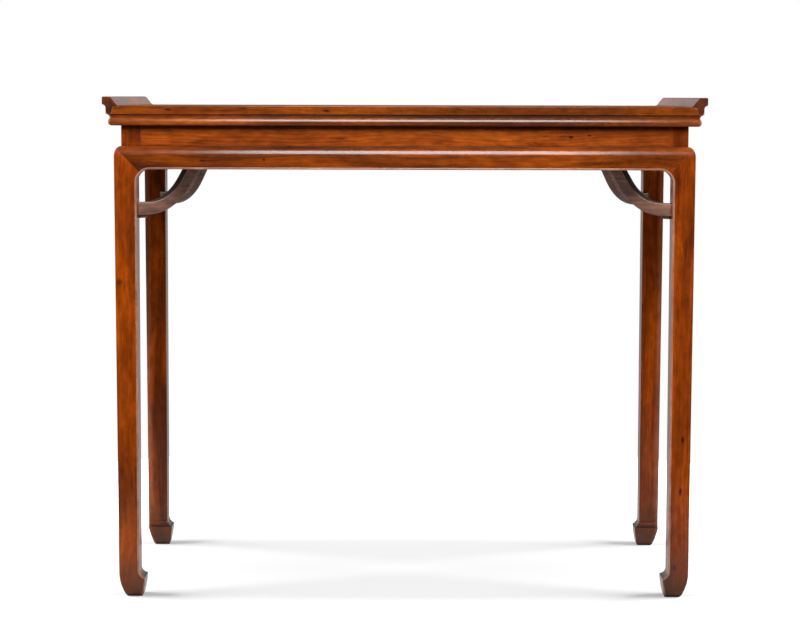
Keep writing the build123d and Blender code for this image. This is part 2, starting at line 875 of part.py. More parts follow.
# ---- name, mirror and write everything ----
pieces = list(top_battens)
named = {
    "top_front_rail": top_front_rail,
    "top_back_rail": top_back_rail,
    "top_left_rail": top_left_rail,
    "top_right_rail": top_right_rail,
    "top_panel": top_panel,
    "left_flange": left_flange,
    "right_flange": right_flange,
    "front_waist_board": front_waist_board,
    "back_waist_board": back_waist_board,
    "left_waist_board": left_waist_board,
    "right_waist_board": right_waist_board,
    "front_apron": front_apron,
    "back_apron": back_apron,
    "left_apron": left_apron,
    "right_apron": right_apron,
}
for name, builder in named.items():
    builder.part.label = name
    pieces.append(builder.part)

quarters = {
    "back_right": (),
    "back_left": (Plane.YZ,),
    "front_right": (Plane.XZ,),
    "front_left": (Plane.YZ, Plane.XZ),
}


def in_quarter(part, planes):
    """The back right quarter's piece, mirrored to another quarter."""
    with BuildPart() as copy:
        add(part)
        for plane in planes:
            mirror(about=plane, mode=Mode.REPLACE)
    return copy.part


for quarter, planes in quarters.items():
    for kind, builder in (("leg", leg), ("brace", brace)):
        piece = in_quarter(builder.part, planes)
        piece.label = f"{quarter}_{kind}"
        pieces.append(piece)

for label, builder in (("brace_wedges", wedge), ("brace_pins", pin)):
    with BuildPart() as group:
        for planes in quarters.values():
            add(in_quarter(builder.part, planes))
    group.part.label = label
    pieces.append(group.part)

for piece in pieces:
    export_step(piece, f"parts/{piece.label}.step")
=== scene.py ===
"""A waisted altar table with everted end flanges, giant's-arm braces and hoof feet.

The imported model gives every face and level. Each sub-assembly below skins its pieces in
metres, in the same frame, softens their arrises and dresses them in figured hardwood.
Nothing on this table moves, so every piece rides on its one body.
"""

from __future__ import annotations

import logging
import math
from collections.abc import Sequence
from dataclasses import dataclass, field, replace
from enum import Enum
from itertools import pairwise
from typing import Any

import bmesh
import bpy
from mathutils import Matrix, Vector, noise

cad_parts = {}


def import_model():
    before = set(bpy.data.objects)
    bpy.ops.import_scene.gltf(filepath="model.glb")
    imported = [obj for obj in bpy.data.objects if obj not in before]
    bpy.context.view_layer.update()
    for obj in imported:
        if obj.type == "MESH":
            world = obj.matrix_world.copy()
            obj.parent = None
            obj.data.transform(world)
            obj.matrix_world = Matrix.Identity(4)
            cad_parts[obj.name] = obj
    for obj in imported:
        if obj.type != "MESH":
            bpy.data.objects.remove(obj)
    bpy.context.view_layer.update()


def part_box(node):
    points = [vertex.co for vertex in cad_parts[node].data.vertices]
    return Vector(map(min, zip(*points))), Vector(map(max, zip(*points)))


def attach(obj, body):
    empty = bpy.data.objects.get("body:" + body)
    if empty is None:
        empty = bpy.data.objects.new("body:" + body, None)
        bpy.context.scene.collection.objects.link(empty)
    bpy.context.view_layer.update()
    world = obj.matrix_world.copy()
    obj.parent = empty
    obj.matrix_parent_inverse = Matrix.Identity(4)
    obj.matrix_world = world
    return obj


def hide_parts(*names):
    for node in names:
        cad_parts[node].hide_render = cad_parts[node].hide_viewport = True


LOG = logging.getLogger("altar_table")
BODY = "root"
SAME_PLACE = 2e-6  # points nearer than this are one point
BEAD_MARK = "bead"  # point attribute, 1 on a raised bead

# Sizes that several pieces share, in metres
LEG_WIDTH = 0.0375  # a leg's shaft under the aprons
APRON_DEPTH = 0.0385  # from an apron's top to its straight lower edge
APRON_THICKNESS = 0.024
SPANDREL = 0.022  # radius of the rounding between an apron and a leg
POST = 0.0441  # from a leg's outer face to the far side of its post

Point2 = tuple[float, float]
Point3 = tuple[float, float, float]
Colour = tuple[int, int, int]
Ring = list[Vector]


# ---------------------------------------------------------------- plane geometry


def arc(start: Point2, middle: Point2, end: Point2, steps: int) -> list[Point2]:
    """Points along the circle through three points.

    Args:
        start: First point, included.
        middle: Any point between the two ends.
        end: Last point, included.
        steps: Number of chords.

    Returns:
        steps + 1 points.
    """
    (ax, ay), (bx, by), (cx, cy) = start, middle, end
    det = 2 * (ax * (by - cy) + bx * (cy - ay) + cx * (ay - by))
    a2, b2, c2 = ax * ax + ay * ay, bx * bx + by * by, cx * cx + cy * cy
    ox = (a2 * (by - cy) + b2 * (cy - ay) + c2 * (ay - by)) / det
    oy = (a2 * (cx - bx) + b2 * (ax - cx) + c2 * (bx - ax)) / det
    radius = math.hypot(ax - ox, ay - oy)
    first = math.atan2(ay - oy, ax - ox)
    last = math.atan2(cy - oy, cx - ox)
    through = math.atan2(by - oy, bx - ox)
    sweep = (last - first) % math.tau
    if (through - first) % math.tau > sweep:
        sweep -= math.tau
    turns = [first + sweep * step / steps for step in range(steps + 1)]
    return [(ox + radius * math.cos(turn), oy + radius * math.sin(turn)) for turn in turns]


def rounded(
    before: Point2, corner: Point2, after: Point2, radius: float, steps: int
) -> list[Point2]:
    """A corner of an outline, rounded with an arc tangent to both of its sides.

    Args:
        before: A point on the side that comes in.
        corner: The sharp corner.
        after: A point on the side that goes out.
        radius: Radius of the rounding.
        steps: Number of chords.

    Returns:
        The points that replace the corner.
    """
    here, back, ahead = Vector(corner), Vector(before), Vector(after)
    inward, outward = (back - here).normalized(), (ahead - here).normalized()
    half_angle = inward.angle(outward) / 2
    bisector = (inward + outward).normalized()
    centre = here + bisector * (radius / math.sin(half_angle))
    reach = radius / math.tan(half_angle)
    crown = centre - bisector * radius
    return arc(tuple(here + inward * reach), tuple(crown), tuple(here + outward * reach), steps)


def between(low: float, high: float, steps: int) -> list[float]:
    """steps + 1 evenly spaced values from low to high."""
    return [low + (high - low) * step / steps for step in range(steps + 1)]


# ---------------------------------------------------------------- objects and meshes


def linked(name: str, data: Any) -> bpy.types.Object:
    """A new object with this data, linked into the scene.

    Args:
        name: Name of the object.
        data: Its mesh, light or camera.

    Returns:
        The object.
    """
    made = bpy.data.objects.new(name, data)
    bpy.context.scene.collection.objects.link(made)
    return made


def taken(shape: bmesh.types.BMesh, name: str) -> bpy.types.Mesh:
    """The mesh of a finished shape, which is freed.

    Args:
        shape: The shape.
        name: Name of the mesh.

    Returns:
        The mesh.
    """
    mesh = bpy.data.meshes.new(name)
    shape.to_mesh(mesh)
    shape.free()
    return mesh


def skin(
    shape: bmesh.types.BMesh, rings: Sequence[Sequence[Sequence[float]]]
) -> list[list[bmesh.types.BMVert]]:
    """Joins closed rings of equal count into one shell with a cap at each end.

    Args:
        shape: The shape that the shell is added to.
        rings: Rings in order along the shell.

    Returns:
        The new vertices, ring by ring.
    """
    loops = [[shape.verts.new(point) for point in ring] for ring in rings]
    for near, far in pairwise(loops):
        for here in range(len(near)):
            there = (here + 1) % len(near)
            shape.faces.new((near[here], near[there], far[there], far[here]))
    shape.faces.new(loops[0])
    shape.faces.new(loops[-1])
    return loops


# ---------------------------------------------------------------- node trees


class Sheet:
    """A node tree while it is drawn, for shaders and for geometry alike."""

    def __init__(self, tree: bpy.types.NodeTree) -> None:
        """Takes the tree to draw in."""
        self.tree = tree

    def add(
        self, kind: str, feeds: dict[Any, Any] | None = None, **settings: Any
    ) -> bpy.types.Node:
        """Adds a node.

        Args:
            kind: Blender's name for the node type.
            feeds: What goes into each input, by name or index: a socket or a plain value.
            **settings: The node's own properties.

        Returns:
            The new node.
        """
        node = self.tree.nodes.new(kind)
        for key, value in settings.items():
            setattr(node, key, value)
        for key, value in (feeds or {}).items():
            if isinstance(value, bpy.types.NodeSocket):
                self.tree.links.new(value, node.inputs[key])
            else:
                node.inputs[key].default_value = value
        return node

    def math(self, operation: str, first: Any, second: Any = 0.0, third: Any = 0.0) -> Any:
        """One arithmetic step on numbers or sockets, as a socket."""
        family = "ShaderNodeMath"
        return self.add(family, {0: first, 1: second, 2: third}, operation=operation).outputs[0]

    def ranged(
        self, value: Any, low: float, high: float, start: float, stop: float, ease: str = "LINEAR"
    ) -> Any:
        """A number taken from one range to another and kept inside it, as a socket."""
        feeds = {"Value": value, "From Min": low, "From Max": high, "To Min": start, "To Max": stop}
        return self.add("ShaderNodeMapRange", feeds, interpolation_type=ease).outputs[0]

    def noise(self, place: Any, scale: float, detail: float) -> Any:
        """Noise round 0.5 with so many waves in a metre, as a socket."""
        feeds = {"Vector": place, "Scale": scale, "Detail": detail}
        return self.add("ShaderNodeTexNoise", feeds).outputs[0]

    def mix(self, share: Any, first: Any, second: Any) -> Any:
        """Two colours mixed by a share of the second, as a socket."""
        feeds = {0: share, 6: first, 7: second}
        return self.add("ShaderNodeMix", feeds, data_type="RGBA").outputs[2]

    def nudged(self, base: Any, wave: Any, share: float) -> Any:
        """A number moved up and down by a share of a noise round 0.5, as a socket."""
        return self.math("MULTIPLY_ADD", self.math("SUBTRACT", wave, 0.5), share, base)

    def vector(self, operation: str, first: Any, second: Any = (0.0, 0.0, 0.0)) -> Any:
        """One step of vector arithmetic, as a socket."""
        node = self.add("ShaderNodeVectorMath", {0: first, 1: second}, operation=operation)
        return node.outputs["Value" if operation in ("LENGTH", "DOT_PRODUCT") else "Vector"]


def blank(owner: bpy.types.Material | bpy.types.World) -> Sheet:
    """The node tree of a new material or world, cleared and ready to draw in.

    Args:
        owner: The material or the world.

    Returns:
        Its tree.
    """
    owner.use_nodes = True
    owner.node_tree.nodes.clear()
    return Sheet(owner.node_tree)


class Grower(Sheet):
    """A geometry tree with named inputs, grown once into a plain mesh."""

    KINDS = {
        float: "NodeSocketFloat",
        int: "NodeSocketInt",
        bpy.types.Material: "NodeSocketMaterial",
    }

    def __init__(self, name: str, inputs: dict[str, type]) -> None:
        """Makes the tree and its sockets.

        Args:
            name: The tree's name.
            inputs: The kind of each named input.
        """
        super().__init__(bpy.data.node_groups.new(name, "GeometryNodeTree"))
        sockets = self.tree.interface
        sockets.new_socket("Geometry", in_out="INPUT", socket_type="NodeSocketGeometry")
        sockets.new_socket("Geometry", in_out="OUTPUT", socket_type="NodeSocketGeometry")
        for label, kind in inputs.items():
            sockets.new_socket(label, in_out="INPUT", socket_type=self.KINDS[kind])
        self.given = self.add("NodeGroupInput").outputs

    def close(self, geometry: Any) -> None:
        """Realizes the instances, sets the material and ends the tree.

        Args:
            geometry: The geometry that the tree has made.
        """
        real = self.add("GeometryNodeRealizeInstances", {0: geometry}).outputs[0]
        dressed = self.add("GeometryNodeSetMaterial", {0: real, "Material": self.given["Material"]})
        self.add("NodeGroupOutput", {0: dressed.outputs[0]})

    def grow(self, name: str, seed: bpy.types.Mesh, values: dict[str, Any]) -> bpy.types.Object:
        """Runs the tree on a seed mesh.

        Args:
            name: Name of the piece.
            seed: The mesh that goes in.
            values: Each named input's value.

        Returns:
            The piece, as a plain mesh with no modifier.
        """
        piece = linked(name, seed)
        modifier = piece.modifiers.new(self.tree.name, "NODES")
        modifier.node_group = self.tree
        for item in self.tree.interface.items_tree:
            if item.in_out == "INPUT" and item.name in values:
                modifier[item.identifier] = values[item.name]
        return settle(piece)


def settle(piece: bpy.types.Object) -> bpy.types.Object:
    """Turns a piece's evaluated mesh into its own plain mesh and clears its modifiers.

    Args:
        piece: The piece.

    Returns:
        The same piece.
    """
    bpy.context.view_layer.update()
    graph = bpy.context.evaluated_depsgraph_get()
    seen = piece.evaluated_get(graph)
    result = bpy.data.meshes.new_from_object(seen, preserve_all_data_layers=True, depsgraph=graph)
    old = piece.data
    result.name = piece.name
    piece.modifiers.clear()
    piece.data = result
    bpy.data.meshes.remove(old)
    return piece


def outline_mesh(name: str, points: Sequence[Sequence[float]], closed: bool) -> bpy.types.Mesh:
    """Edges through the points, as the seed of a geometry tree.

    Args:
        name: Name of the mesh.
        points: The points, in order.
        closed: Whether the last point joins the first.

    Returns:
        The mesh.
    """
    last = len(points) if closed else len(points) - 1
    edges = [(here, (here + 1) % len(points)) for here in range(last)]
    mesh = bpy.data.meshes.new(name)
    mesh.from_pydata([tuple(point) for point in points], edges, [])
    return mesh


# ---------------------------------------------------------------- skins and arrises


def loft(
    name: str,
    rings: Sequence[Ring],
    material: bpy.types.Material,
    marks: Sequence[Sequence[float]] = (),
) -> bpy.types.Object:
    """Skins closed rings of equal count into one shell with a cap at each end.

    Args:
        name: Name of the piece.
        rings: Rings in order along the piece.
        material: Its finish.
        marks: The bead's marks in each ring, where the piece has a bead.

    Returns:
        The piece, with outward faces and nothing doubled.
    """
    shell = bmesh.new()
    layer = shell.verts.layers.float.new(BEAD_MARK)
    for loop, row in zip(skin(shell, rings), marks):
        for vertex, mark in zip(loop, row):
            vertex[layer] = mark
    bmesh.ops.remove_doubles(shell, verts=shell.verts, dist=SAME_PLACE)
    bmesh.ops.dissolve_degenerate(shell, edges=shell.edges, dist=SAME_PLACE)
    many = [face for face in shell.faces if len(face.verts) > 4]
    bmesh.ops.triangulate(shell, faces=many)
    bmesh.ops.recalc_face_normals(shell, faces=shell.faces)
    mesh = taken(shell, name)
    mesh.materials.append(material)
    return linked(name, mesh)


@dataclass(frozen=True)
class Hand:
    """How a joiner's plane, scraper and long use leave a piece.

    Attributes:
        arris: Width of the softened arrises.
        sharp: Edges that turn by more than this are arrises.
        hollow: Deepest unevenness of the planed faces.
        wander: Waves of that unevenness in a metre.
        crease: Edges that turn by more than this stay sharp in the shading.
    """

    arris: float = 0.0005
    sharp: float = math.radians(31)
    hollow: float = 0.00002
    wander: float = 14.0
    crease: float = math.radians(52)

    def finish(self, piece: bpy.types.Object, seed: float) -> bpy.types.Object:
        """Planes, softens and shades a piece.

        Args:
            piece: The piece, with a plain mesh.
            seed: Picks this piece's own unevenness.

        Returns:
            The same piece with its final mesh.
        """
        drift = Vector((seed, -seed, seed / 2))
        mesh = piece.data
        normals = [normal.vector.copy() for normal in mesh.vertex_normals]
        for vertex, normal in zip(mesh.vertices, normals):
            depth = (noise.noise(vertex.co * self.wander + drift) + 1) / 2
            if vertex.co.z > self.hollow:
                vertex.co -= normal * (depth * self.hollow)
        bevel = piece.modifiers.new("arrises", "BEVEL")
        bevel.width = self.arris
        bevel.segments = 2
        bevel.limit_method = "ANGLE"
        bevel.angle_limit = self.sharp
        bevel.harden_normals = False
        bevel.use_clamp_overlap = True
        settle(piece)
        mesh = piece.data
        mesh.shade_smooth()
        mesh.set_sharp_from_angle(angle=self.crease)
        even = piece.modifiers.new("even faces", "WEIGHTED_NORMAL")
        even.keep_sharp = True
        even.weight = 90
        return settle(piece)


# ---------------------------------------------------------------- sides and corners


class Side(Enum):
    """The four sides of the table, each with its turn from the back."""

    BACK = 0
    LEFT = 1
    FRONT = 2
    RIGHT = 3

    @property
    def word(self) -> str:
        """The side's name in plain letters."""
        return self.name.lower()

    @property
    def long(self) -> bool:
        """True for the two long sides."""
        return self in (Side.BACK, Side.FRONT)

    @property
    def turn(self) -> Matrix:
        """The turn about the upright axis that takes the back to this side."""
        return Matrix.Rotation(self.value * math.pi / 2, 4, "Z")

    @property
    def grain(self) -> Grain:
        """Which way the grain runs in a piece along this side."""
        return Grain.ALONG_X if self.long else Grain.ALONG_Y

    def ordered(self, depth: float, length: float) -> Point2:
        """Half the table's depth and length, the one towards this side first."""
        return (depth, length) if self.long else (length, depth)


class Corner(Enum):
    """The four corners, as signs of X and Y."""

    FRONT_LEFT = (-1, -1)
    FRONT_RIGHT = (1, -1)
    BACK_LEFT = (-1, 1)
    BACK_RIGHT = (1, 1)

    @property
    def word(self) -> str:
        """The corner's name in plain letters."""
        return self.name.lower()

    @property
    def number(self) -> int:
        """The corner's place in this list, from 0."""
        return list(Corner).index(self)


@dataclass(frozen=True)
class SettingOut:
    """Faces and levels that the pieces share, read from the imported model, in metres.

    Attributes:
        half_length: From the middle to the legs' outer faces, along X.
        half_depth: The same along Y.
        top_half_length: From the middle to the band of the top's ends.
        top_half_depth: The same along Y.
        surface: Level of the top's surface.
        underside: Level of the top frame's underside.
        apron_top: Level of the aprons' upper edge.
        setback: From the legs' faces to the waist.
        tip: From the middle to the flanges' tips.
        crest: Level of the flanges' tips.
    """

    half_length: float
    half_depth: float
    top_half_length: float
    top_half_depth: float
    surface: float
    underside: float
    apron_top: float
    setback: float
    tip: float
    crest: float

    @classmethod
    def read(cls, bead_proud: float, throw: float) -> SettingOut:
        """Reads the faces and levels.

        Args:
            bead_proud: Height of the bead over the legs' faces.
            throw: How far the flanges' tips reach past the band.

        Returns:
            The setting out of this frame.
        """
        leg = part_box("back_right_leg")[1]
        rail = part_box("top_back_rail")
        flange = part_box("right_flange")[1]
        half_depth = leg.y - bead_proud
        return cls(
            half_length=leg.x - bead_proud,
            half_depth=half_depth,
            top_half_length=flange.x - throw,
            top_half_depth=rail[1].y,
            surface=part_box("top_panel")[1].z,
            underside=rail[0].z,
            apron_top=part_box("back_apron")[1].z,
            setback=half_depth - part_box("back_waist_board")[1].y,
            tip=flange.x,
            crest=flange.z,
        )

    def at(self, corner: Corner, along: float, across: float, level: float) -> Vector:
        """A point given by its insets from a corner's two outer faces.

        Args:
            corner: Which corner.
            along: Inset along X.
            across: Inset along Y.
            level: Height over the floor.

        Returns:
            The point in the table's frame.
        """
        x_sign, y_sign = corner.value
        x, y = self.half_length - along, self.half_depth - across
        return Vector((x_sign * x, y_sign * y, level))


# ---------------------------------------------------------------- finishes


def swatch(red: int, green: int, blue: int) -> tuple[float, float, float, float]:
    """A colour card's reading, 0 to 255, as the linear colour that a shader takes.

    Args:
        red: Red, 0 to 255.
        green: Green, 0 to 255.
        blue: Blue, 0 to 255.

    Returns:
        Red, green, blue and an alpha of 1.
    """

    def linear(level: int) -> float:
        """One channel without its display curve."""
        share = level / 255
        return share / 12.92 if share <= 0.04045 else ((share + 0.055) / 1.055) ** 2.4

    return (linear(red), linear(green), linear(blue), 1.0)


class Grain(Enum):
    """Which way a plank's grain runs, as the turn that brings it onto X."""

    ALONG_X = (0.0, 0.0, 0.0)
    ALONG_Y = (0.0, 0.0, -math.pi / 2)
    UPRIGHT = (0.0, math.pi / 2, 0.0)


@dataclass(frozen=True)
class Knot:
    """A knot, streak or stain: its middle and half sizes in the table's frame, and its depth."""

    place: Point3
    size: Point3
    depth: float = 1.0


@dataclass(frozen=True)
class Plank:
    """The stock that one piece is cut from.

    Attributes:
        grain: Which way the grain runs.
        seed: Picks the plank's own figure.
        pith: Where the tree's pith lies, across the grain, in metres.
        knots: The knots that show.
        tone: How far the plank leans to the dark tones, 0 to 1.
        turn: Extra turn of the grain, for a piece that lies askew.
    """

    grain: Grain
    seed: float
    pith: Point2 = (0.09, 0.05)
    knots: tuple[Knot, ...] = ()
    tone: float = 0.5
    turn: Point3 = (0.0, 0.0, 0.0)

    @property
    def shift(self) -> Point3:
        """Where in the endless pattern the plank is cut."""
        return (self.seed * 3.1, self.seed * 0.37, self.seed * 0.23)


@dataclass(frozen=True)
class Hardwood:
    """A polished, figured hardwood.

    Attributes:
        name: Name of the finish.
        slot: Name of a material slot; not used.
        gold: Swatch of the bright, open growth.
        body: Swatch of the body of the wood.
        deep: Swatch of the dark growth.
        vein: Swatch of the dark lines and knots.
        grime: Swatch of the painted shade in the quirks and on the braces' upward faces, and of the
            old dirty wax in the quirks.
        worn: Swatch of the rubbed arrises, also used for painted highlights on beads and arrises.
        cut: Swatch of the end grain.
        rub_and_highlight: How far the arrises are rubbed and painted pale as a highlight in that
            colour, 0 to 1.
        polish: Roughness of the rubbed faces.
        shine: Strength of the surface reflection.
        soot: How far the faces that look up are painted black as shade, 0 to 1; those that look
            down are painted darker by part of it.
        feet: Whether the wood darkens towards the floor and is scuffed grey near it.
        recess: How far out of a corner the painted shade and the dirty wax reach, in metres.
    """

    name: str
    slot: str
    gold: Colour = (148, 66, 5)
    body: Colour = (106, 45, 6)
    deep: Colour = (62, 23, 5)
    vein: Colour = (31, 11, 5)
    grime: Colour = (16, 7, 5)
    worn: Colour = (178, 138, 118)
    cut: Colour = (62, 34, 26)
    rub_and_highlight: float = 0.5
    polish: float = 0.17
    shine: float = 0.27
    soot: float = 0.0
    feet: bool = False
    recess: float = 0.008

    def material(self, piece: str, plank: Plank) -> bpy.types.Material:
        """Draws the finish for one piece.

        Args:
            piece: Name of the piece.
            plank: Its stock.

        Returns:
            A material that reads the piece's object coordinates.
        """
        material = bpy.data.materials.new(f"{self.name}_{piece}")
        sheet = blank(material)
        own = sheet.add("ShaderNodeTexCoord").outputs["Object"]
        wood = self._plank_space(sheet, own, plank)
        growth = self._growth(sheet, wood, plank)
        colour = self._figure(sheet, wood, growth, plank)
        colour = self._end_grain(sheet, colour, plank)
        pores = self._pores(sheet, wood)
        colour = sheet.mix(sheet.math("MULTIPLY", pores, 0.45), colour, swatch(*self.vein))
        colour = self._knots(sheet, own, wood, colour, plank)
        rise = sheet.add("ShaderNodeNewGeometry").outputs["Normal"]
        rise = sheet.add("ShaderNodeSeparateXYZ", {0: rise}).outputs["Z"]
        if self.feet:
            colour = self._scuffs(sheet, own, rise, colour)
        # painted shade on the faces that look up and down, and a painted highlight line
        if self.soot:
            colour = self._soot(sheet, rise, colour)
        # pale beads and arrises: wear, and a painted highlight
        colour = self._wear(sheet, own, rise, colour)
        # ambient occlusion darkens quirks, joints and recesses: painted shade, and dirty wax
        colour, shade_and_dirt = self._grime(sheet, own, colour)
        rough = self._roughness(sheet, own, rise, pores, shade_and_dirt)
        normal = self._relief(sheet, own, growth, pores)
        shader = sheet.add(
            "ShaderNodeBsdfPrincipled",
            {"Base Color": colour, "Roughness": rough, "Normal": normal, "IOR": 1.5},
        )
        shader.inputs["Specular IOR Level"].default_value = self.shine
        sheet.add("ShaderNodeOutputMaterial", {"Surface": shader.outputs[0]})
        return material

    def _plank_space(self, sheet: Sheet, own: Any, plank: Plank) -> Any:
        """Object coordinates turned so that the grain runs along X, with a slow wander.

        Args:
            sheet: The tree to draw in.
            own: The piece's object coordinates.
            plank: The piece's stock.

        Returns:
            A socket with the coordinates.
        """
        turned = sheet.add("ShaderNodeMapping", {0: own, "Rotation": plank.turn})
        feeds = {0: turned.outputs[0], "Rotation": plank.grain.value}
        turned = sheet.add("ShaderNodeMapping", feeds)
        moved = sheet.vector("ADD", turned.outputs[0], plank.shift)
        slow = sheet.add("ShaderNodeTexNoise", {"Vector": moved, "Scale": 3.6, "Detail": 2.0})
        drift = sheet.vector("SUBTRACT", slow.outputs["Color"], (0.5, 0.5, 0.5))
        drift = sheet.vector("MULTIPLY", drift, (0.0, 0.035, 0.035))
        return sheet.vector("ADD", moved, drift)

    def _noise(
        self, sheet: Sheet, wood: Any, along: float, across: float, detail: float = 2.0
    ) -> Any:
        """Noise with so many waves in a metre along the grain and across it."""
        stretched = sheet.vector("MULTIPLY", wood, (along, across, across))
        return sheet.noise(stretched, 1.0, detail)

    def _growth(self, sheet: Sheet, wood: Any, plank: Plank) -> Any:
        """Uneven growth lines round the pith, 0 to 1.

        Args:
            sheet: The tree to draw in.
            wood: Coordinates along and across the grain.
            plank: The piece's stock.

        Returns:
            A socket with the lines.
        """
        _, over, up = plank.shift
        from_pith = (0.0, -plank.pith[0] - over, -plank.pith[1] - up)
        radial = sheet.vector("ADD", wood, from_pith)
        radius = sheet.vector("LENGTH", sheet.vector("MULTIPLY", radial, (0.0, 1.0, 1.0)))
        ripple = self._noise(sheet, wood, 2.2, 24.0, 3.0)
        radius = sheet.math("MULTIPLY_ADD", ripple, 0.012, radius)
        lines = sheet.add(
            "ShaderNodeTexNoise",
            {"W": radius, "Scale": 230.0, "Detail": 4.0, "Roughness": 0.7},
            noise_dimensions="1D",
        )
        return lines.outputs[0]

    def _figure(self, sheet: Sheet, wood: Any, growth: Any, plank: Plank) -> Any:
        """The wood's colour before pores, knots and dirt.

        Args:
            sheet: The tree to draw in.
            wood: Coordinates along and across the grain.
            growth: The growth lines, 0 to 1.
            plank: The piece's stock.

        Returns:
            A socket with the new colour.
        """
        clouds = self._noise(sheet, wood, 5.5, 26.0, 3.0)
        broad = self._noise(sheet, sheet.vector("ADD", wood, (7.0, 0.0, 4.0)), 3.0, 9.0, 1.0)
        lean = sheet.ranged(sheet.nudged(clouds, broad, 0.9), 0.30, 0.60, 0.0, 1.0)
        shade = sheet.mix(lean, swatch(*self.gold), swatch(*self.body))
        streaks = self._noise(sheet, sheet.vector("ADD", wood, (3.0, 1.0, 2.0)), 3.2, 42.0, 3.0)
        start = 0.62 - 0.2 * plank.tone
        dark = sheet.ranged(sheet.nudged(streaks, broad, 0.4), start, start + 0.2, 0.0, 0.85)
        shade = sheet.mix(dark, shade, swatch(*self.deep))
        gain = sheet.ranged(growth, 0.3, 0.7, 0.78, 1.2)
        fine = sheet.ranged(self._noise(sheet, wood, 16.0, 640.0), 0.3, 0.7, 0.86, 1.13)
        flecks = sheet.ranged(self._noise(sheet, wood, 42.0, 130.0, 3.0), 0.34, 0.66, 0.78, 1.22)
        gain = sheet.math("MULTIPLY", sheet.math("MULTIPLY", gain, fine), flecks)
        feeds = {0: shade, "Scale": gain}
        shade = sheet.add("ShaderNodeVectorMath", feeds, operation="SCALE").outputs[0]
        return self._veins(sheet, wood, shade)

    def _veins(self, sheet: Sheet, wood: Any, colour: Any) -> Any:
        """Thin dark lines that run with the grain and come and go.

        Args:
            sheet: The tree to draw in.
            wood: Coordinates along and across the grain.
            colour: The colour so far.

        Returns:
            A socket with the new colour.
        """
        lines = self._noise(sheet, wood, 2.4, 74.0, 2.0)
        off_line = sheet.math("ABSOLUTE", sheet.math("SUBTRACT", lines, 0.5))
        line = sheet.ranged(off_line, 0.0, 0.016, 0.6, 0.0)
        here = sheet.ranged(self._noise(sheet, wood, 9.0, 30.0), 0.45, 0.62, 0.0, 1.0)
        return sheet.mix(sheet.math("MULTIPLY", line, here), colour, swatch(*self.vein))

    def _end_grain(self, sheet: Sheet, colour: Any, plank: Plank) -> Any:
        """Darker wood where the piece is cut across its grain.

        Args:
            sheet: The tree to draw in.
            colour: The colour so far.
            plank: The piece's stock.

        Returns:
            A socket with the new colour.
        """
        across = {
            Grain.ALONG_X: (1.0, 0.0, 0.0),
            Grain.ALONG_Y: (0.0, 1.0, 0.0),
            Grain.UPRIGHT: (0.0, 0.0, 1.0),
        }
        facing = sheet.add("ShaderNodeNewGeometry").outputs["Normal"]
        facing = sheet.math("ABSOLUTE", sheet.vector("DOT_PRODUCT", facing, across[plank.grain]))
        return sheet.mix(sheet.ranged(facing, 0.86, 0.97, 0.0, 0.7), colour, swatch(*self.cut))

    def _pores(self, sheet: Sheet, wood: Any) -> Any:
        """Short open pores along the grain, 0 to 1."""
        return sheet.ranged(self._noise(sheet, wood, 110.0, 1900.0, 1.0), 0.62, 0.72, 0.0, 1.0)

    def _knots(self, sheet: Sheet, own: Any, wood: Any, colour: Any, plank: Plank) -> Any:
        """Dark knots with a soft, broken rim.

        Args:
            sheet: The tree to draw in.
            own: The piece's object coordinates.
            wood: Coordinates along and across the grain.
            colour: The colour so far.
            plank: The piece's stock.

        Returns:
            A socket with the new colour.
        """
        ragged = sheet.noise(wood, 160.0, 2.0)
        for knot in plank.knots:
            off = sheet.vector("SUBTRACT", own, knot.place)
            off = sheet.vector("DIVIDE", off, knot.size)
            reach = sheet.math("MULTIPLY_ADD", ragged, 0.8, sheet.vector("LENGTH", off))
            stain = sheet.ranged(reach, 0.55, 1.7, knot.depth, 0.0, "SMOOTHSTEP")
            colour = sheet.mix(stain, colour, swatch(*self.vein))
        return colour

    def _scuffs(self, sheet: Sheet, own: Any, rise: Any, colour: Any) -> Any:
        """Darker, then grey wood towards the floor, and darker on upward faces in the hollows over
        the hooves.

        Args:
            sheet: The tree to draw in.
            own: The piece's object coordinates.
            rise: How far the face looks up, -1 to 1.
            colour: The colour so far.

        Returns:
            A socket with the new colour.
        """
        level = sheet.add("ShaderNodeSeparateXYZ", {0: own}).outputs["Z"]
        patchy = sheet.noise(own, 70.0, 4.0)
        darker = sheet.ranged(level, 0.10, 0.50, 0.34, 0.0, "SMOOTHSTEP")
        colour = sheet.mix(darker, colour, swatch(*self.deep))
        rough_level = sheet.math("MULTIPLY_ADD", patchy, 0.05, level)
        grey = sheet.mix(patchy, swatch(86, 58, 42), swatch(60, 38, 28))
        colour = sheet.mix(sheet.ranged(rough_level, 0.035, 0.125, 0.75, 0.0), colour, grey)
        faces_up = sheet.ranged(rise, 0.55, 0.85, 0.15, 0.85)
        low = sheet.ranged(level, 0.06, 0.075, 1.0, 0.0)
        # darker on the faces that look up, just above the floor
        return sheet.mix(sheet.math("MULTIPLY", faces_up, low), colour, swatch(36, 24, 20))

    def _soot(self, sheet: Sheet, rise: Any, colour: Any) -> Any:
        """Painted shade: black on faces that look up, darker on faces that look down, and a painted
        highlight line beside the black.

        Args:
            sheet: The tree to draw in.
            rise: How far the face looks up, -1 to 1.
            colour: The colour so far.

        Returns:
            A socket with the new colour.
        """
        # painted shade on the faces that look down
        under = sheet.ranged(sheet.math("MULTIPLY", rise, -1.0), 0.3, 0.8, 0.0, 0.6 * self.soot)
        colour = sheet.mix(under, colour, swatch(*self.vein))
        # painted highlight line where the faces start to turn up
        line = sheet.ranged(rise, 0.03, 0.12, 0.0, 0.9)
        colour = sheet.mix(line, colour, swatch(*self.worn))
        # painted shade, black, on the faces that look up
        black = sheet.ranged(rise, 0.42, 0.55, 0.0, self.soot)
        return sheet.mix(black, colour, swatch(*self.grime))

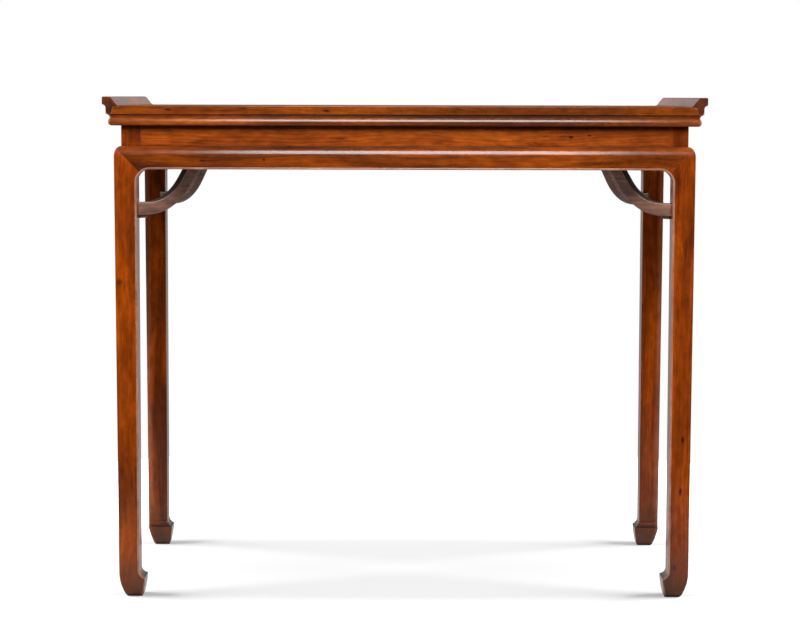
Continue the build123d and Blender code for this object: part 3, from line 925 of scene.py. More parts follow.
    def _wear(self, sheet: Sheet, own: Any, rise: Any, colour: Any) -> Any:
        """Beads and free arrises rubbed pale by hands and cloths and painted pale as a highlight,
        the lower ones less.

        Args:
            sheet: The tree to draw in.
            own: The piece's object coordinates.
            rise: How far the face looks up, -1 to 1.
            colour: The colour so far.

        Returns:
            A socket with the new colour.
        """
        thin = sheet.add(
            "ShaderNodeAmbientOcclusion",
            {"Distance": 0.0024},
            samples=6,
            inside=True,
            only_local=True,
        )
        sky = sheet.add("ShaderNodeAmbientOcclusion", {"Distance": 0.004}, samples=6).outputs["AO"]
        patchy = sheet.noise(own, 38.0, 4.0)
        rubbed = sheet.nudged(thin.outputs["AO"], patchy, 0.5)
        share = sheet.ranged(rubbed, 0.3, 0.66, self.rub_and_highlight, 0.0)
        free = sheet.ranged(sky, 0.72, 0.92, 0.0, 1.0)
        reached = sheet.ranged(rise, -0.65, -0.25, 0.2, 1.0)
        share = sheet.math("MULTIPLY", sheet.math("MULTIPLY", share, free), reached)
        bead = sheet.add("ShaderNodeAttribute", attribute_name=BEAD_MARK).outputs["Fac"]
        bead = sheet.math("MULTIPLY", bead, sheet.ranged(patchy, 0.3, 0.7, 0.25, 0.6))
        # paints beads and arrises pale: partly wear, partly a painted highlight
        return sheet.mix(sheet.math("MAXIMUM", share, bead), colour, swatch(*self.worn))

    def _grime(self, sheet: Sheet, own: Any, colour: Any) -> tuple[Any, Any]:
        """Painted shade and old dirty wax in the quirks and joints; gives colour and mask.

        Args:
            sheet: The tree to draw in.
            own: The piece's object coordinates.
            colour: The colour so far.

        Returns:
            Sockets with the new colour and with the mask of painted shade and dirty wax, 0 to 1.
        """
        reach = {"Distance": self.recess}
        sky = sheet.add("ShaderNodeAmbientOcclusion", reach, samples=8).outputs["AO"]
        patchy = sheet.noise(own, 45.0, 3.0)
        # painted shade in corners and recesses from ambient occlusion, with dirty wax there
        shade_and_dirt = sheet.ranged(sheet.nudged(sky, patchy, 0.3), 0.32, 0.82, 0.92, 0.0)
        return sheet.mix(shade_and_dirt, colour, swatch(*self.grime)), shade_and_dirt

    def _roughness(self, sheet: Sheet, own: Any, rise: Any, pores: Any, shade_and_dirt: Any) -> Any:
        """Gloss that varies with handling, pores and dirty wax; level tops are dulled by use.

        Args:
            sheet: The tree to draw in.
            own: The piece's object coordinates.
            rise: How far the face looks up, -1 to 1.
            pores: The open pores, 0 to 1.
            shade_and_dirt: Where the painted shade and the dirty wax lie, 0 to 1.

        Returns:
            A socket with the roughness.
        """
        smears = sheet.noise(own, 17.0, 4.0)
        rough = sheet.math("MULTIPLY_ADD", smears, 0.10, self.polish - 0.05)
        rough = sheet.math("ADD", rough, sheet.ranged(rise, 0.8, 0.97, 0.0, 0.36))
        rough = sheet.math("MULTIPLY_ADD", pores, 0.15, rough)
        return sheet.math("MULTIPLY_ADD", shade_and_dirt, 0.15, rough)

    def _relief(self, sheet: Sheet, own: Any, growth: Any, pores: Any) -> Any:
        """Bump of the pores, the raised growth and the scraper's slow waves.

        Args:
            sheet: The tree to draw in.
            own: The piece's object coordinates.
            growth: The growth lines, 0 to 1.
            pores: The open pores, 0 to 1.

        Returns:
            A socket with the bent normal.
        """
        waves = sheet.noise(own, 26.0, 2.0)
        first = sheet.add("ShaderNodeBump", {"Strength": 0.03, "Distance": 0.0005, "Height": waves})
        height = sheet.math("MULTIPLY_ADD", pores, -0.7, sheet.math("MULTIPLY", growth, 0.3))
        return sheet.add(
            "ShaderNodeBump",
            {"Strength": 0.04, "Distance": 0.0002, "Height": height, "Normal": first.outputs[0]},
        ).outputs[0]


# ---------------------------------------------------------------- the top


@dataclass(frozen=True)
class EdgeMoulding:
    """The frame's moulded edge, as insets from the band and depths below the band's foot."""

    step: Point2 = (0.0010, 0.0001)
    cove: Point2 = (0.0042, 0.0019)
    quirk: Point2 = (0.0062, 0.0064)
    crest: Point2 = (0.0037, 0.0136)
    foot: Point2 = (0.0096, 0.0193)
    chords: int = 9

    def points(self, below_cove: bool = False) -> list[Point2]:
        """The moulding from the band's foot down to the underside, as insets and depths.

        Args:
            below_cove: Leaves out the cove, which the flanges carry at the ends.

        Returns:
            Insets and depths, from above.
        """
        cove = arc(self.step, self.cove, self.quirk, self.chords - 1)[:-1]
        chain = [] if below_cove else [(0.0, 0.0), *cove]
        chain += self._swell(self.quirk)
        chain += reversed(self._swell(self.foot)[:-1])
        return chain

    def _swell(self, end: Point2) -> list[Point2]:
        """The roll from one of its ends to its crest, where it stands upright.

        Args:
            end: The roll's end, as inset and depth.

        Returns:
            Insets and depths from that end to the crest.
        """
        over, down = end[0] - self.crest[0], end[1] - self.crest[1]
        radius = (over**2 + down**2) / (2 * over)
        half = math.atan2(abs(down), radius - over) / 2
        reach = math.copysign(radius * math.sin(half), down)
        middle = (self.crest[0] + radius * (1 - math.cos(half)), self.crest[1] + reach)
        return arc(end, middle, self.crest, self.chords)

    def inset(self, depth: float) -> float:
        """The moulding's inset at a depth below the band's foot.

        Args:
            depth: Depth below the band's foot.

        Returns:
            The inset from the band.
        """
        if depth <= 0:
            return 0.0
        for (near, high), (far, low) in pairwise(self.points()):
            if high <= depth <= low:
                return near + (far - near) * (depth - high) / (low - high)
        return self.foot[0]


@dataclass
class Top:
    """Mitred frame, floating panel, battens and everted flanges.

    Attributes:
        lay: The shared setting out.
        rail_width: Width of the frame's members.
        seat_width: From a flange's tip to the inner edge of its seat at the end band.
        flange_width: Width of a flange's seat.
        flange_crown: Width of a flange's flat crown.
        lip: Height of a flange's upright outer face.
        hollow: Height of the hollow under the lip.
        sink: Depth of the flange's seat in the top.
        groove: Depth of the panel's groove in the frame.
        play: Gap left round the panel.
        throw: How far the flanges' tips reach past the band.
        crown_flat: From a flange's tip to where its crown starts to round.
        lip_round: Radius of the rounding at a flange's tip.
        crown_round: Radius of the rounding inside the crown.
        valley_round: Radius of the rounding at the valley.
        valley_run: From the inner edge of the seat to a flange's valley.
        seam: How far a flange's foot stands over the top.
        tongue_foot: Depth of the underside of the panel's tongue below the surface.
        tongue_top: Depth of the tongue's upper face below the surface.
        edge_round: Radius of the frame's upper outer arris.
        foot_round: Radius of the frame's lower inner arris.
        inner_round: Radius of the frame's upper inner arris.
        chamfer: Width of the small chamfers of the panel and the flanges' ends.
        batten_half: Half the width of a batten.
        cutter_run: Where the cutter of the flanges' seats starts and ends, along Y.
        clear: How far that cutter stands out past the flanges' tips.
        fit: Gap left in the joints.
    """

    lay: SettingOut
    edge: EdgeMoulding = field(default_factory=EdgeMoulding)
    hand: Hand = field(default_factory=Hand)
    rail_width: float = 0.062
    throw: float = 0.006
    seat_width: float = 0.0178
    flange_width: float = 0.028
    flange_crown: float = 0.014
    lip: float = 0.013
    hollow: float = 0.006
    sink: float = 0.002
    groove: float = 0.007
    play: float = 0.0006
    crown_flat: float = 0.006
    lip_round: float = 0.0024
    crown_round: float = 0.0068
    valley_round: float = 0.0045
    valley_run: float = 0.0022
    seam: float = 0.0002
    tongue_foot: float = 0.011
    tongue_top: float = 0.006
    edge_round: float = 0.0011
    foot_round: float = 0.0009
    inner_round: float = 0.0003
    chamfer: float = 0.0004
    batten_half: float = 0.015
    cutter_run: Point2 = (0.1, 0.3)
    clear: float = 0.01
    fit: float = 0.0001

    @property
    def band_foot(self) -> float:
        """Level of the foot of the plain band."""
        return self.lay.underside + self.edge.foot[1]

    def build(self, frame_wood: Hardwood, panel_wood: Hardwood, inner_wood: Hardwood) -> None:
        """Builds and dresses the whole top.

        Args:
            frame_wood: Finish of the frame and the flanges.
            panel_wood: Finish of the panel.
            inner_wood: Finish of the battens.
        """
        self._rails(frame_wood)
        for sign, word in ((-1, "left"), (1, "right")):
            self._flange(sign, word, frame_wood)
        self._panel(panel_wood)
        self._battens(inner_wood)

    def _seat(self, half: float) -> list[Point2]:
        """Line of the flange's seat on a side rail, from its inner top corner to the quirk.

        Args:
            half: From the table's middle to the band.

        Returns:
            Distances from the table's middle, and levels.
        """
        tip = half + self.throw
        floor = self.lay.surface - self.sink - self.fit
        return [
            (tip - self.flange_width - self.fit, self.lay.surface),
            (tip - self.flange_width - self.fit, floor),
            (tip - self.seat_width - self.fit, floor),
            (half - self.edge.quirk[0] - self.fit, self.band_foot - self.edge.quirk[1]),
        ]

    def _rail_profile(self, half: float, seated: bool) -> list[Point2]:
        """Closed section of a rail: distance from the table's middle, and level.

        Args:
            half: From the table's middle to the band.
            seated: Whether a flange sits on the rail.

        Returns:
            The section's points.
        """
        lay, edge = self.lay, self.edge
        inner = half - self.rail_width
        surface, foot = lay.surface, lay.underside
        if seated:
            chain = self._seat(half)
        else:
            band = (half, self.band_foot)
            chain = rounded((inner, surface), (half, surface), band, self.edge_round, 5)
            chain += [(half, (surface + self.band_foot) / 2)]
        chain += [(half - inset, self.band_foot - depth) for inset, depth in edge.points(seated)]
        chain += [(half - 0.03, foot), (inner + 0.012, foot)]
        chain += rounded((half, foot), (inner, foot), (inner, surface), self.foot_round, 3)
        shelf = surface - self.tongue_foot - self.fit
        roof = surface - self.tongue_top + self.fit
        chain += [(inner, shelf), (inner + self.groove, shelf)]
        chain += [(inner + self.groove, roof), (inner, roof)]
        chain += rounded((inner, foot), (inner, surface), (half, surface), self.inner_round, 2)
        chain += [(inner + 0.02, surface), (half - 0.034, surface)]
        return chain

    def _rail_tree(self) -> Grower:
        """Tree that runs a section along X and mitres both ends.

        Returns:
            The tree.
        """
        tree = Grower(
            "mitred_rail",
            {
                "Half Length": float,
                "Half Depth": float,
                "Cuts": int,
                "Material": bpy.types.Material,
            },
        )
        section = tree.add("GeometryNodeMeshToCurve", {0: tree.given["Geometry"]}).outputs[0]
        line = tree.add("GeometryNodeCurvePrimitiveLine", {"Start": (-1, 0, 0), "End": (1, 0, 0)})
        cuts = tree.math("ADD", tree.given["Cuts"], 1.0)
        line = tree.add("GeometryNodeResampleCurve", {0: line.outputs[0], "Count": cuts})
        upright = tree.add("GeometryNodeSetCurveNormal", {0: line.outputs[0]}, mode="Z_UP")
        feeds = {0: upright.outputs[0], 1: section, "Fill Caps": True}
        rail = tree.add("GeometryNodeCurveToMesh", feeds)
        position = tree.add("GeometryNodeInputPosition").outputs[0]
        place = tree.add("ShaderNodeSeparateXYZ", {0: position})
        inset = tree.math("SUBTRACT", tree.given["Half Depth"], place.outputs["Y"])
        reach = tree.math("SUBTRACT", tree.given["Half Length"], inset)
        stretched = tree.math("MULTIPLY", place.outputs["X"], reach)
        target = tree.add(
            "ShaderNodeCombineXYZ", {0: stretched, 1: place.outputs["Y"], 2: place.outputs["Z"]}
        ).outputs[0]
        feeds = {0: rail.outputs[0], "Position": target}
        tree.close(tree.add("GeometryNodeSetPosition", feeds).outputs[0])
        return tree

    def _rails(self, wood: Hardwood) -> None:
        """The frame's four members; the long ones are cut for the flanges.

        Args:
            wood: Their finish.
        """
        lay, tree = self.lay, self._rail_tree()
        cutter = self._seat_cutter()
        for side in Side:
            name = f"rail_{side.word}"
            half, reach = side.ordered(lay.top_half_depth, lay.top_half_length)
            section = self._rail_profile(half, not side.long)
            profile = [(-out, -level, 0.0) for out, level in section]
            knots = TOP_KNOTS if side is Side.FRONT else ()
            plank = Plank(side.grain, 2.3 + 1.7 * side.value, (0.06, 0.03), knots, 0.5)
            values = {
                "Half Length": reach - (self.fit if side.long else 0.0),
                "Half Depth": half,
                "Cuts": 36 if side.long else 18,
                "Material": wood.material(name, plank),
            }
            rail = tree.grow(name, outline_mesh(name, profile, closed=True), values)
            if side.long:
                cut = rail.modifiers.new("flange seats", "BOOLEAN")
                cut.operation = "DIFFERENCE"
                cut.solver = "EXACT"
                cut.object = cutter
                settle(rail)
            rail.data.transform(side.turn)
            self.hand.finish(rail, side.value + 0.4)
            register(rail, f"top_{side.word}_rail")
        bpy.data.objects.remove(cutter)

    def _flange_profile(self) -> list[Point2]:
        """Closed section of the right flange.

        Returns:
            Distances from the table's middle, and levels.
        """
        lay = self.lay
        half, tip, crest = lay.top_half_length, lay.tip, lay.crest
        lip_foot = crest - self.lip
        base = tip - self.flange_width
        floor = lay.surface - self.sink
        inner, on_crown = (tip - self.flange_crown, crest), (tip - self.crown_flat, crest)
        seam = (base, lay.surface + self.seam)
        valley = (base + self.valley_run, lay.surface + self.seam)
        chain = rounded((tip, lip_foot), (tip, crest), inner, self.lip_round, 6)
        chain += [on_crown, *rounded(on_crown, inner, valley, self.crown_round, 8)]
        chain += rounded(inner, valley, seam, self.valley_round, 5)
        chain += [seam, (base, floor), (tip - self.seat_width, floor)]
        cove = [(half - inset, self.band_foot - depth) for inset, depth in self.edge.points()]
        chain += reversed(cove[: self.edge.chords + 1])
        rise = lip_foot - self.hollow
        chain += [(half, (self.band_foot + rise) / 2)]
        bend = math.sqrt(0.5)
        bulge = (half + self.throw * (1 - bend), rise + self.hollow * bend)
        chain += arc((half, rise), bulge, (tip, lip_foot), 7)
        chain += [(tip, (lip_foot + crest) / 2)]
        return chain

    def _seat_space(self) -> list[Point2]:
        """Closed section of the space that the right flange needs in the frame.

        Returns:
            Distances from the table's middle, and levels.
        """
        tip, crest, quirk = self.lay.tip, self.lay.crest, self.edge.quirk
        base = tip - self.flange_width - self.fit
        floor = self.lay.surface - self.sink - self.fit
        foot = self.band_foot - quirk[1]
        return [
            (tip + self.clear, crest),
            (base, crest),
            (base, floor),
            (tip - self.seat_width - self.fit, floor),
            (self.lay.top_half_length - quirk[0] - self.fit, foot),
            (tip + self.clear, foot),
        ]

    def _seat_cutter(self) -> bpy.types.Object:
        """Two prisms, the space that the flanges take from the long rails.

        Returns:
            The cutter, to be removed after use.
        """
        shape, section = bmesh.new(), self._seat_space()
        for sign in (-1, 1):
            skin(shape, [[(sign * x, y, z) for x, z in section] for y in self.cutter_run])
        bmesh.ops.recalc_face_normals(shape, faces=shape.faces)
        return linked("seat_cutter", taken(shape, "seat_cutter"))

    def _flange(self, sign: int, word: str, wood: Hardwood) -> None:
        """One everted flange with its end grain moulded like the long rails' edge.

        Args:
            sign: -1 for the left end, 1 for the right.
            word: Name of that end.
            wood: Its finish.
        """
        half_depth = self.lay.top_half_depth
        profile = self._flange_profile()
        rings = []
        for share in [-1.0, *between(-0.996, 0.996, 30), 1.0]:
            ring = []
            for x, z in profile:
                reach = half_depth - self.edge.inset(self.band_foot - z)
                ring.append(Vector((sign * x, share * reach, z)))
            rings.append(ring)
        for ring in (rings[0], rings[-1]):
            middle = sum(ring, Vector()) / len(ring)
            for point in ring:
                inward = (middle - point).normalized() * self.chamfer
                point.x += inward.x
                point.z += inward.z
        name = f"flange_{word}"
        plank = Plank(Grain.ALONG_Y, 7.7 + sign, (0.05, 0.06), (), 0.55)
        flange = loft(name, rings, replace(wood, recess=0.006).material(name, plank))
        self.hand.finish(flange, 5.0 + sign)
        register(flange, f"{word}_flange")

    def _panel(self, wood: Hardwood) -> None:
        """The floating panel with its tongue.

        Args:
            wood: Its finish.
        """
        lay = self.lay
        half_x = lay.top_half_length - self.rail_width - self.play
        half_y = lay.top_half_depth - self.rail_width - self.play
        levels = [
            (lay.surface - self.tongue_foot, self.groove),
            (lay.surface - self.tongue_top, self.groove),
            (lay.surface - self.tongue_top, 0.0),
            (lay.surface - self.chamfer, 0.0),
            (lay.surface, -self.chamfer),
        ]
        rings = []
        for level, grow in levels:
            x_half, y_half = half_x + grow, half_y + grow
            ring = [Vector((x, -y_half, level)) for x in between(-x_half, x_half, 40)[:-1]]
            ring += [Vector((x_half, y, level)) for y in between(-y_half, y_half, 16)[:-1]]
            ring += [Vector((x, y_half, level)) for x in between(x_half, -x_half, 40)[:-1]]
            ring += [Vector((-x_half, y, level)) for y in between(y_half, -y_half, 16)[:-1]]
            rings.append(ring)
        plank = Plank(Grain.ALONG_X, 13.1, (0.03, 0.045), (), 0.4)
        panel = loft("panel_top", rings, wood.material("panel_top", plank))
        Hand(hollow=0.0).finish(panel, 3.3)
        register(panel, "top_panel")

    def _battens(self, wood: Hardwood) -> None:
        """The three battens under the panel.

        Args:
            wood: Their finish.
        """
        for word in ("left", "middle", "right"):
            low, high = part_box(f"top_{word}_batten")
            middle = (low.x + high.x) / 2
            reach = self.lay.top_half_depth - self.rail_width - self.fit
            ceiling = self.lay.surface - self.tongue_foot - self.fit
            name = f"batten_{word}"
            plank = Plank(Grain.ALONG_Y, 17.0 + middle * 9, (0.05, 0.05), (), 0.4)
            corners = (
                Vector((middle - self.batten_half, -reach, low.z)),
                Vector((middle + self.batten_half, reach, ceiling)),
            )
            batten = board(name, corners, (1, 14, 1), wood.material(name, plank))
            Hand(arris=0.0008).finish(batten, middle)
            register(batten, f"top_{word}_batten")


# ---------------------------------------------------------------- waist, aprons and legs


def board(
    name: str,
    corners: tuple[Vector, Vector],
    cuts: tuple[int, int, int],
    material: bpy.types.Material,
) -> bpy.types.Object:
    """A squared board between two corners.

    Args:
        name: Name of the piece.
        corners: Its low and its high corner.
        cuts: Segments along X, Y and Z; only one of them is above 1.
        material: Its finish.

    Returns:
        The piece, with square arrises.
    """
    low, high = corners
    axis = cuts.index(max(cuts))
    one, two = [other for other in range(3) if other != axis]
    rings = []
    for place in between(low[axis], high[axis], cuts[axis]):
        ring = []
        for first, second in ((low, low), (high, low), (high, high), (low, high)):
            point = Vector((0.0, 0.0, 0.0))
            point[axis], point[one], point[two] = place, first[one], second[two]
            ring.append(point)
        rings.append(ring)
    return loft(name, rings, material)


@dataclass(frozen=True)
class Shoulder:
    """The rounded shoulder that the legs and the aprons share above their flat faces."""

    setback: float
    height: float
    top: float

    def inset(self, level: float) -> float:
        """Inset of the shoulder's surface at a level.

        Args:
            level: Height over the floor.

        Returns:
            The inset from the flat face.
        """
        over = (level - (self.top - self.height)) / self.height
        if over <= 0:
            return 0.0
        return self.setback * (1 - math.sqrt(max(0.0, 1 - min(over, 1.0) ** 2)))

    def corner_drop(self, slope: float) -> float:
        """How far below its top the shoulder's own corner meets a mitre of this slope.

        Args:
            slope: How far the mitre runs along for each step down.

        Returns:
            The depth below the shoulder's top.
        """
        low, high = 0.0, self.height
        for _ in range(30):
            middle = (low + high) / 2
            if self.inset(self.top - middle) > middle * slope:
                low = middle
            else:
                high = middle
        return low

    def rows(self, steps: int) -> list[Point2]:
        """Insets and levels from the top of the shoulder down to the flat face.

        Args:
            steps: Number of chords.

        Returns:
            Insets and levels.
        """
        turns = between(math.pi / 2, 0.0, steps)
        foot = self.top - self.height
        return [
            (self.setback * (1 - math.cos(turn)), foot + self.height * math.sin(turn))
            for turn in turns
        ]


@dataclass(frozen=True)
class BeadRun:
    """The raised bead along the inner edge of the legs and the aprons."""

    width: float = 0.0034
    proud: float = 0.0012
    steps: int = 9

    def rows(self) -> list[Point2]:
        """Depths from the edge and heights over the face, from the bead's back to the edge.

        Returns:
            Depths and heights.
        """
        turns = between(0.0, math.pi, self.steps)
        return [
            (self.width * (1 + math.cos(turn)) / 2, self.proud * max(math.sin(turn), 0.0) ** 0.6)
            for turn in turns
        ]

    def marks(self, before: int, count: int) -> list[float]:
        """The bead's marks in a ring of so many points, with so many points before it."""
        own = [0.0, *[1.0] * (self.steps - 1), 0.5]
        return [0.0] * before + own + [0.0] * (count - before - len(own))


@dataclass
class Waist:
    """The four plain boards between the posts."""

    lay: SettingOut
    post: float = POST
    thickness: float = 0.012

    def build(self, wood: Hardwood) -> None:
        """Builds and dresses the boards in their finish.

        Args:
            wood: Their finish.
        """
        lay = self.lay
        for side in Side:
            half, reach = side.ordered(lay.half_depth, lay.half_length)
            face = half - lay.setback
            corners = (
                Vector((self.post - reach, face - self.thickness, lay.apron_top)),
                Vector((reach - self.post, face, lay.underside)),
            )
            name = f"waist_{side.word}"
            knots = WAIST_KNOTS if side is Side.FRONT else ()
            plank = Plank(side.grain, 21.0 + side.value * 2.2, (0.08, 0.02), knots, 0.3)
            piece = board(name, corners, (30, 1, 1), wood.material(name, plank))
            piece.data.transform(side.turn)
            Hand(arris=0.0003).finish(piece, 8.0 + side.value)
            register(piece, f"{side.word}_waist_board")


@dataclass
class Apron:
    """Four aprons with rounded shoulders, spandrels and a bead, mitred to the legs."""

    lay: SettingOut
    shoulder: Shoulder
    bead: BeadRun
    depth: float = APRON_DEPTH
    thickness: float = APRON_THICKNESS
    leg_width: float = LEG_WIDTH
    spandrel: float = SPANDREL
    lap: float = 0.0114
    post: float = POST
    fan: float = 0.075  # from the mitre to the first upright ring
    pitch: float = 0.022  # between the upright rings
    before_bead: int = 19  # points of a ring before its bead

    @property
    def foot(self) -> float:
        """Level of the straight lower edge."""
        return self.shoulder.top - self.depth

    def build(self, wood: Hardwood) -> None:
        """Builds and dresses the four aprons.

        Args:
            wood: Their finish.
        """
        lay = self.lay
        for side in Side:
            half, reach = side.ordered(lay.half_depth, lay.half_length)
            name = f"apron_{side.word}"
            knots = APRON_KNOTS if side is Side.FRONT else ()
            plank = Plank(side.grain, 31.0 + side.value * 1.3, (0.10, 0.04), knots, 0.55)
            rings = [
                [Vector((x, half - out, z)) for x, out, z in ring] for ring in self._rings(reach)
            ]
            marks = [self.bead.marks(self.before_bead, len(rings[0]))] * len(rings)
            piece = loft(name, rings, wood.material(name, plank), marks)
            piece.data.transform(side.turn)
            Hand(arris=0.0002).finish(piece, 11.0 + side.value)
            register(piece, f"{side.word}_apron")

    def _edge(self, reach: float) -> list[tuple[Point2, Point2]]:
        """Half of the lower edge from the mitre: inset and level, with its inward normal.

        Args:
            reach: Half the length over the legs on that side.

        Returns:
            For each point its place and its normal.
        """
        centre = (self.leg_width + self.spandrel, self.foot - self.spandrel)
        path = []
        for turn in between(math.pi / 4, math.pi / 2, 10):
            way = (-math.cos(turn), math.sin(turn))
            edge = (centre[0] + self.spandrel * way[0], centre[1] + self.spandrel * way[1])
            path.append((edge, way))
        straight = max(round((reach - centre[0]) / self.pitch), 4)
        insets = between(centre[0], reach, straight)[1:]
        return path + [((inset, self.foot), (0.0, 1.0)) for inset in insets]

    def _mitre_inset(self, level: float) -> float:
        """Where the mitre lies at a level, with the neighbour's shoulder above it.

        Args:
            level: Height over the floor.

        Returns:
            The inset from the leg's outer face.
        """
        run = (self.shoulder.top - level) * self.leg_width / self.depth
        if level < self.foot:
            run = self.leg_width + (self.foot - level)
        return max(run, self.shoulder.inset(level))

    def _rings(self, reach: float) -> list[list[Point3]]:
        """Rings from the left end to the right end, as place along, inset and level.

        Args:
            reach: Half the length over the legs on that side.

        Returns:
            The rings.
        """
        path = self._edge(reach)
        end_inset = path[0][0][0]
        half_rings = []
        for (inset, level), normal in path:
            share = max(0.0, 1 - (inset - end_inset) / self.fan) ** 2
            half_rings.append(self._ring(inset, level, normal, share, end_inset))
        mitre = half_rings[0]
        cheek = [(u, v if v > self.lap else min(self.lap, max(u, v)), z) for u, v, z in mitre]
        heel = [(self.post, max(v, self.lap), z) for u, v, z in mitre]
        outward = [heel, cheek, *half_rings]
        right = [[(reach - u, v, z) for u, v, z in ring] for ring in outward]
        left = [[(u - reach, v, z) for u, v, z in ring] for ring in outward]
        return left + right[-2::-1]

    def _ring(
        self, inset: float, level: float, normal: Point2, share: float, end_inset: float
    ) -> list[Point3]:
        """One ring: inset along, inset across and level.

        Args:
            inset: Inset of the lower edge.
            level: Level of the lower edge.
            normal: Direction from the edge into the face.
            share: How far the ring has swung onto the mitre, 0 to 1.
            end_inset: Inset of the lower edge at the mitre.

        Returns:
            The ring's points, from the lower back arris round the top to the lower edge.
        """
        top, back = self.shoulder.top, self.thickness
        shoulder = self.shoulder.rows(10)
        hidden = max(inset, self.post)

        def swung(height: float) -> float:
            """Place along of the ring's point at this level."""
            return inset + (self._mitre_inset(height) - end_inset) * share

        ring = [(hidden, back, up) for up in (level + 0.0008, (level + top) / 2, top)]
        ring += [(hidden, (back + self.shoulder.setback) / 2, top)]
        ring += [(swung(height), out, height) for out, height in shoulder]
        depth = self.bead.width
        bead_back = (inset + normal[0] * depth, level + normal[1] * depth)
        start = (swung(shoulder[-1][1]), shoulder[-1][1])
        for step in between(0.0, 1.0, 5)[1:-1]:
            along = start[0] + (bead_back[0] - start[0]) * step
            ring.append((along, 0.0, start[1] + (bead_back[1] - start[1]) * step))
        for depth, height in self.bead.rows():
            ring.append((inset + normal[0] * depth, -height, level + normal[1] * depth))
        ring += [(inset, out, level) for out in (0.006, 0.015)]
        ring += [(inset, back - 0.0008, level), (inset, back - 0.0002, level + 0.0002)]
        return ring


@dataclass(frozen=True)
class HoofLeg:
    """One leg: exposed post, mitred shoulder, leaning inner edge, hollow and hoof."""

    lay: SettingOut
    shoulder: Shoulder
    bead: BeadRun
    width: float = LEG_WIDTH
    ankle: float = 0.0346
    spandrel: float = SPANDREL
    apron_depth: float = APRON_DEPTH
    lug: float = APRON_THICKNESS
    arris: float = 0.0016
    inner_arris: float = 0.0010
    post_far: float = 0.044
    hoof: float = 0.0345
    hollow: float = 0.01471
    sweep: float = math.radians(68)
    base_outer: float = 0.0115
    outer_rise: float = 0.045
    base_inner: float = 0.0385
    belly: Point2 = (0.04205, 0.01725)
    tread: float = 0.0016
    gap: float = 0.00015
    shaft_from: float = 0.06  # above this level the inner side is upright
    square_from: float = 0.2  # above this level the core keeps the shaft's width
    before_bead: int = 9  # points of half a ring before its bead

    def build(self, corner: Corner, wood: Hardwood) -> None:
        """Builds and dresses one leg.

        Args:
            corner: Where it stands.
            wood: Its finish.
        """
        name = f"leg_{corner.word}"
        knots = LEG_KNOTS.get(corner, ())
        plank = Plank(Grain.UPRIGHT, LEG_SEEDS[corner], (0.05, 0.08), knots, LEG_TONES[corner])
        rings = [[self.lay.at(corner, *point) for point in ring] for ring in self._rings()]
        half = self.bead.marks(self.before_bead, len(rings[0]) // 2)
        marks = [half + half[::-1]] * (len(rings) - 2)
        leg = loft(name, rings, wood.material(name, plank), marks)
        Hand(arris=0.0002).finish(leg, 51.0 + corner.number)
        register(leg, f"{corner.word}_leg")

    def outer_inset(self, level: float) -> float:
        """Inset of the outer faces at a level.

        Args:
            level: Height over the floor.

        Returns:
            The inset from the face of the straight shaft.
        """
        if level < self.outer_rise:
            drop = self.outer_rise - level
            radius = (self.base_outer**2 + self.outer_rise**2) / (2 * self.base_outer)
            return radius - math.sqrt(radius**2 - drop**2)
        return self.shoulder.inset(level)

    def _stations(self) -> list[tuple[Point2, Point2, float, float, float]]:
        """Stations up the inner edge.

        Returns:
            For each station the edge, its outward normal, the level of the outer arris, the
            level of the inner corner and the bead's strength.
        """
        foot = self.lay.apron_top - self.apron_depth - self.spandrel
        ankle_level = self.hoof + self.hollow * math.sin(self.sweep)
        lean = math.atan((self.width - self.ankle) / (foot - ankle_level))
        tip_turn = math.pi - lean + self.sweep
        hollow_centre = (
            self.ankle + self.hollow * math.cos(lean),
            ankle_level - self.hollow * math.sin(lean),
        )
        tip = (
            hollow_centre[0] + self.hollow * math.cos(tip_turn),
            hollow_centre[1] + self.hollow * math.sin(tip_turn),
        )
        stations = []
        belly = arc((self.base_inner, 0.0), self.belly, tip, 14)
        for inset, level in belly[:-1]:
            turn = self.sweep * level / tip[1]
            fade = max(0.0, (level / tip[1] - 0.6) / 0.4)
            stations.append(((inset, level), (math.cos(turn), math.sin(turn)), level, level, fade))
        for turn in between(tip_turn, math.pi - lean, 14):
            way = (math.cos(turn), math.sin(turn))
            level = hollow_centre[1] + self.hollow * way[1]
            edge = (hollow_centre[0] + self.hollow * way[0], level)
            stations.append((edge, (-way[0], -way[1]), level, level, 1.0))
        low, high = stations[-1][0], (self.width, foot)
        for share in between(0.0, 1.0, 24)[1:]:
            edge = (low[0] + (high[0] - low[0]) * share, low[1] + (high[1] - low[1]) * share)
            stations.append((edge, (1.0, 0.0), edge[1], edge[1], 1.0))
        centre = (self.width + self.spandrel, foot)
        drop = self.shoulder.corner_drop(self.width / self.apron_depth)
        arris_end = self.lay.apron_top - drop - self.gap
        core_end = self.lay.apron_top - self.apron_depth - self.gap
        last = math.pi / 4 - self.gap / self.spandrel
        for share in between(0.0, 1.0, 12)[1:]:
            turn = last * share
            way = (math.cos(turn), -math.sin(turn))
            edge = (centre[0] - self.spandrel * way[0], centre[1] - self.spandrel * way[1])
            rise = foot + (arris_end - foot) * share
            stations.append((edge, way, rise, foot + (core_end - foot) * share, 1.0))
        return stations

    def _rings(self) -> list[list[Point3]]:
        """Rings from the floor to the head of the post, as two insets and a level.

        Returns:
            The rings.
        """
        rings = []
        for number, (edge, way, rise, core_level, fade) in enumerate(self._stations()):
            ring = self._half_ring(edge, way, rise, core_level, fade)
            if number == 0:
                centre = (self.base_outer + self.base_inner) / 2
                for turn in between(0.0, math.pi / 2, 3)[:-1]:
                    rings.append(self._whole(self._worn_base(ring, centre, turn)))
                ring = [(u, v, self.tread) for u, v, _ in ring]
            rings.append(self._whole(ring))
        setback, far = self.lay.setback, self.post_far
        slope = self.apron_depth / self.width
        crown = self.lay.apron_top - self.gap

        def posted(inset: float) -> float:
            """A shaft's inset as the post's."""
            return far if inset >= self.width - 1e-6 else max(inset, setback)

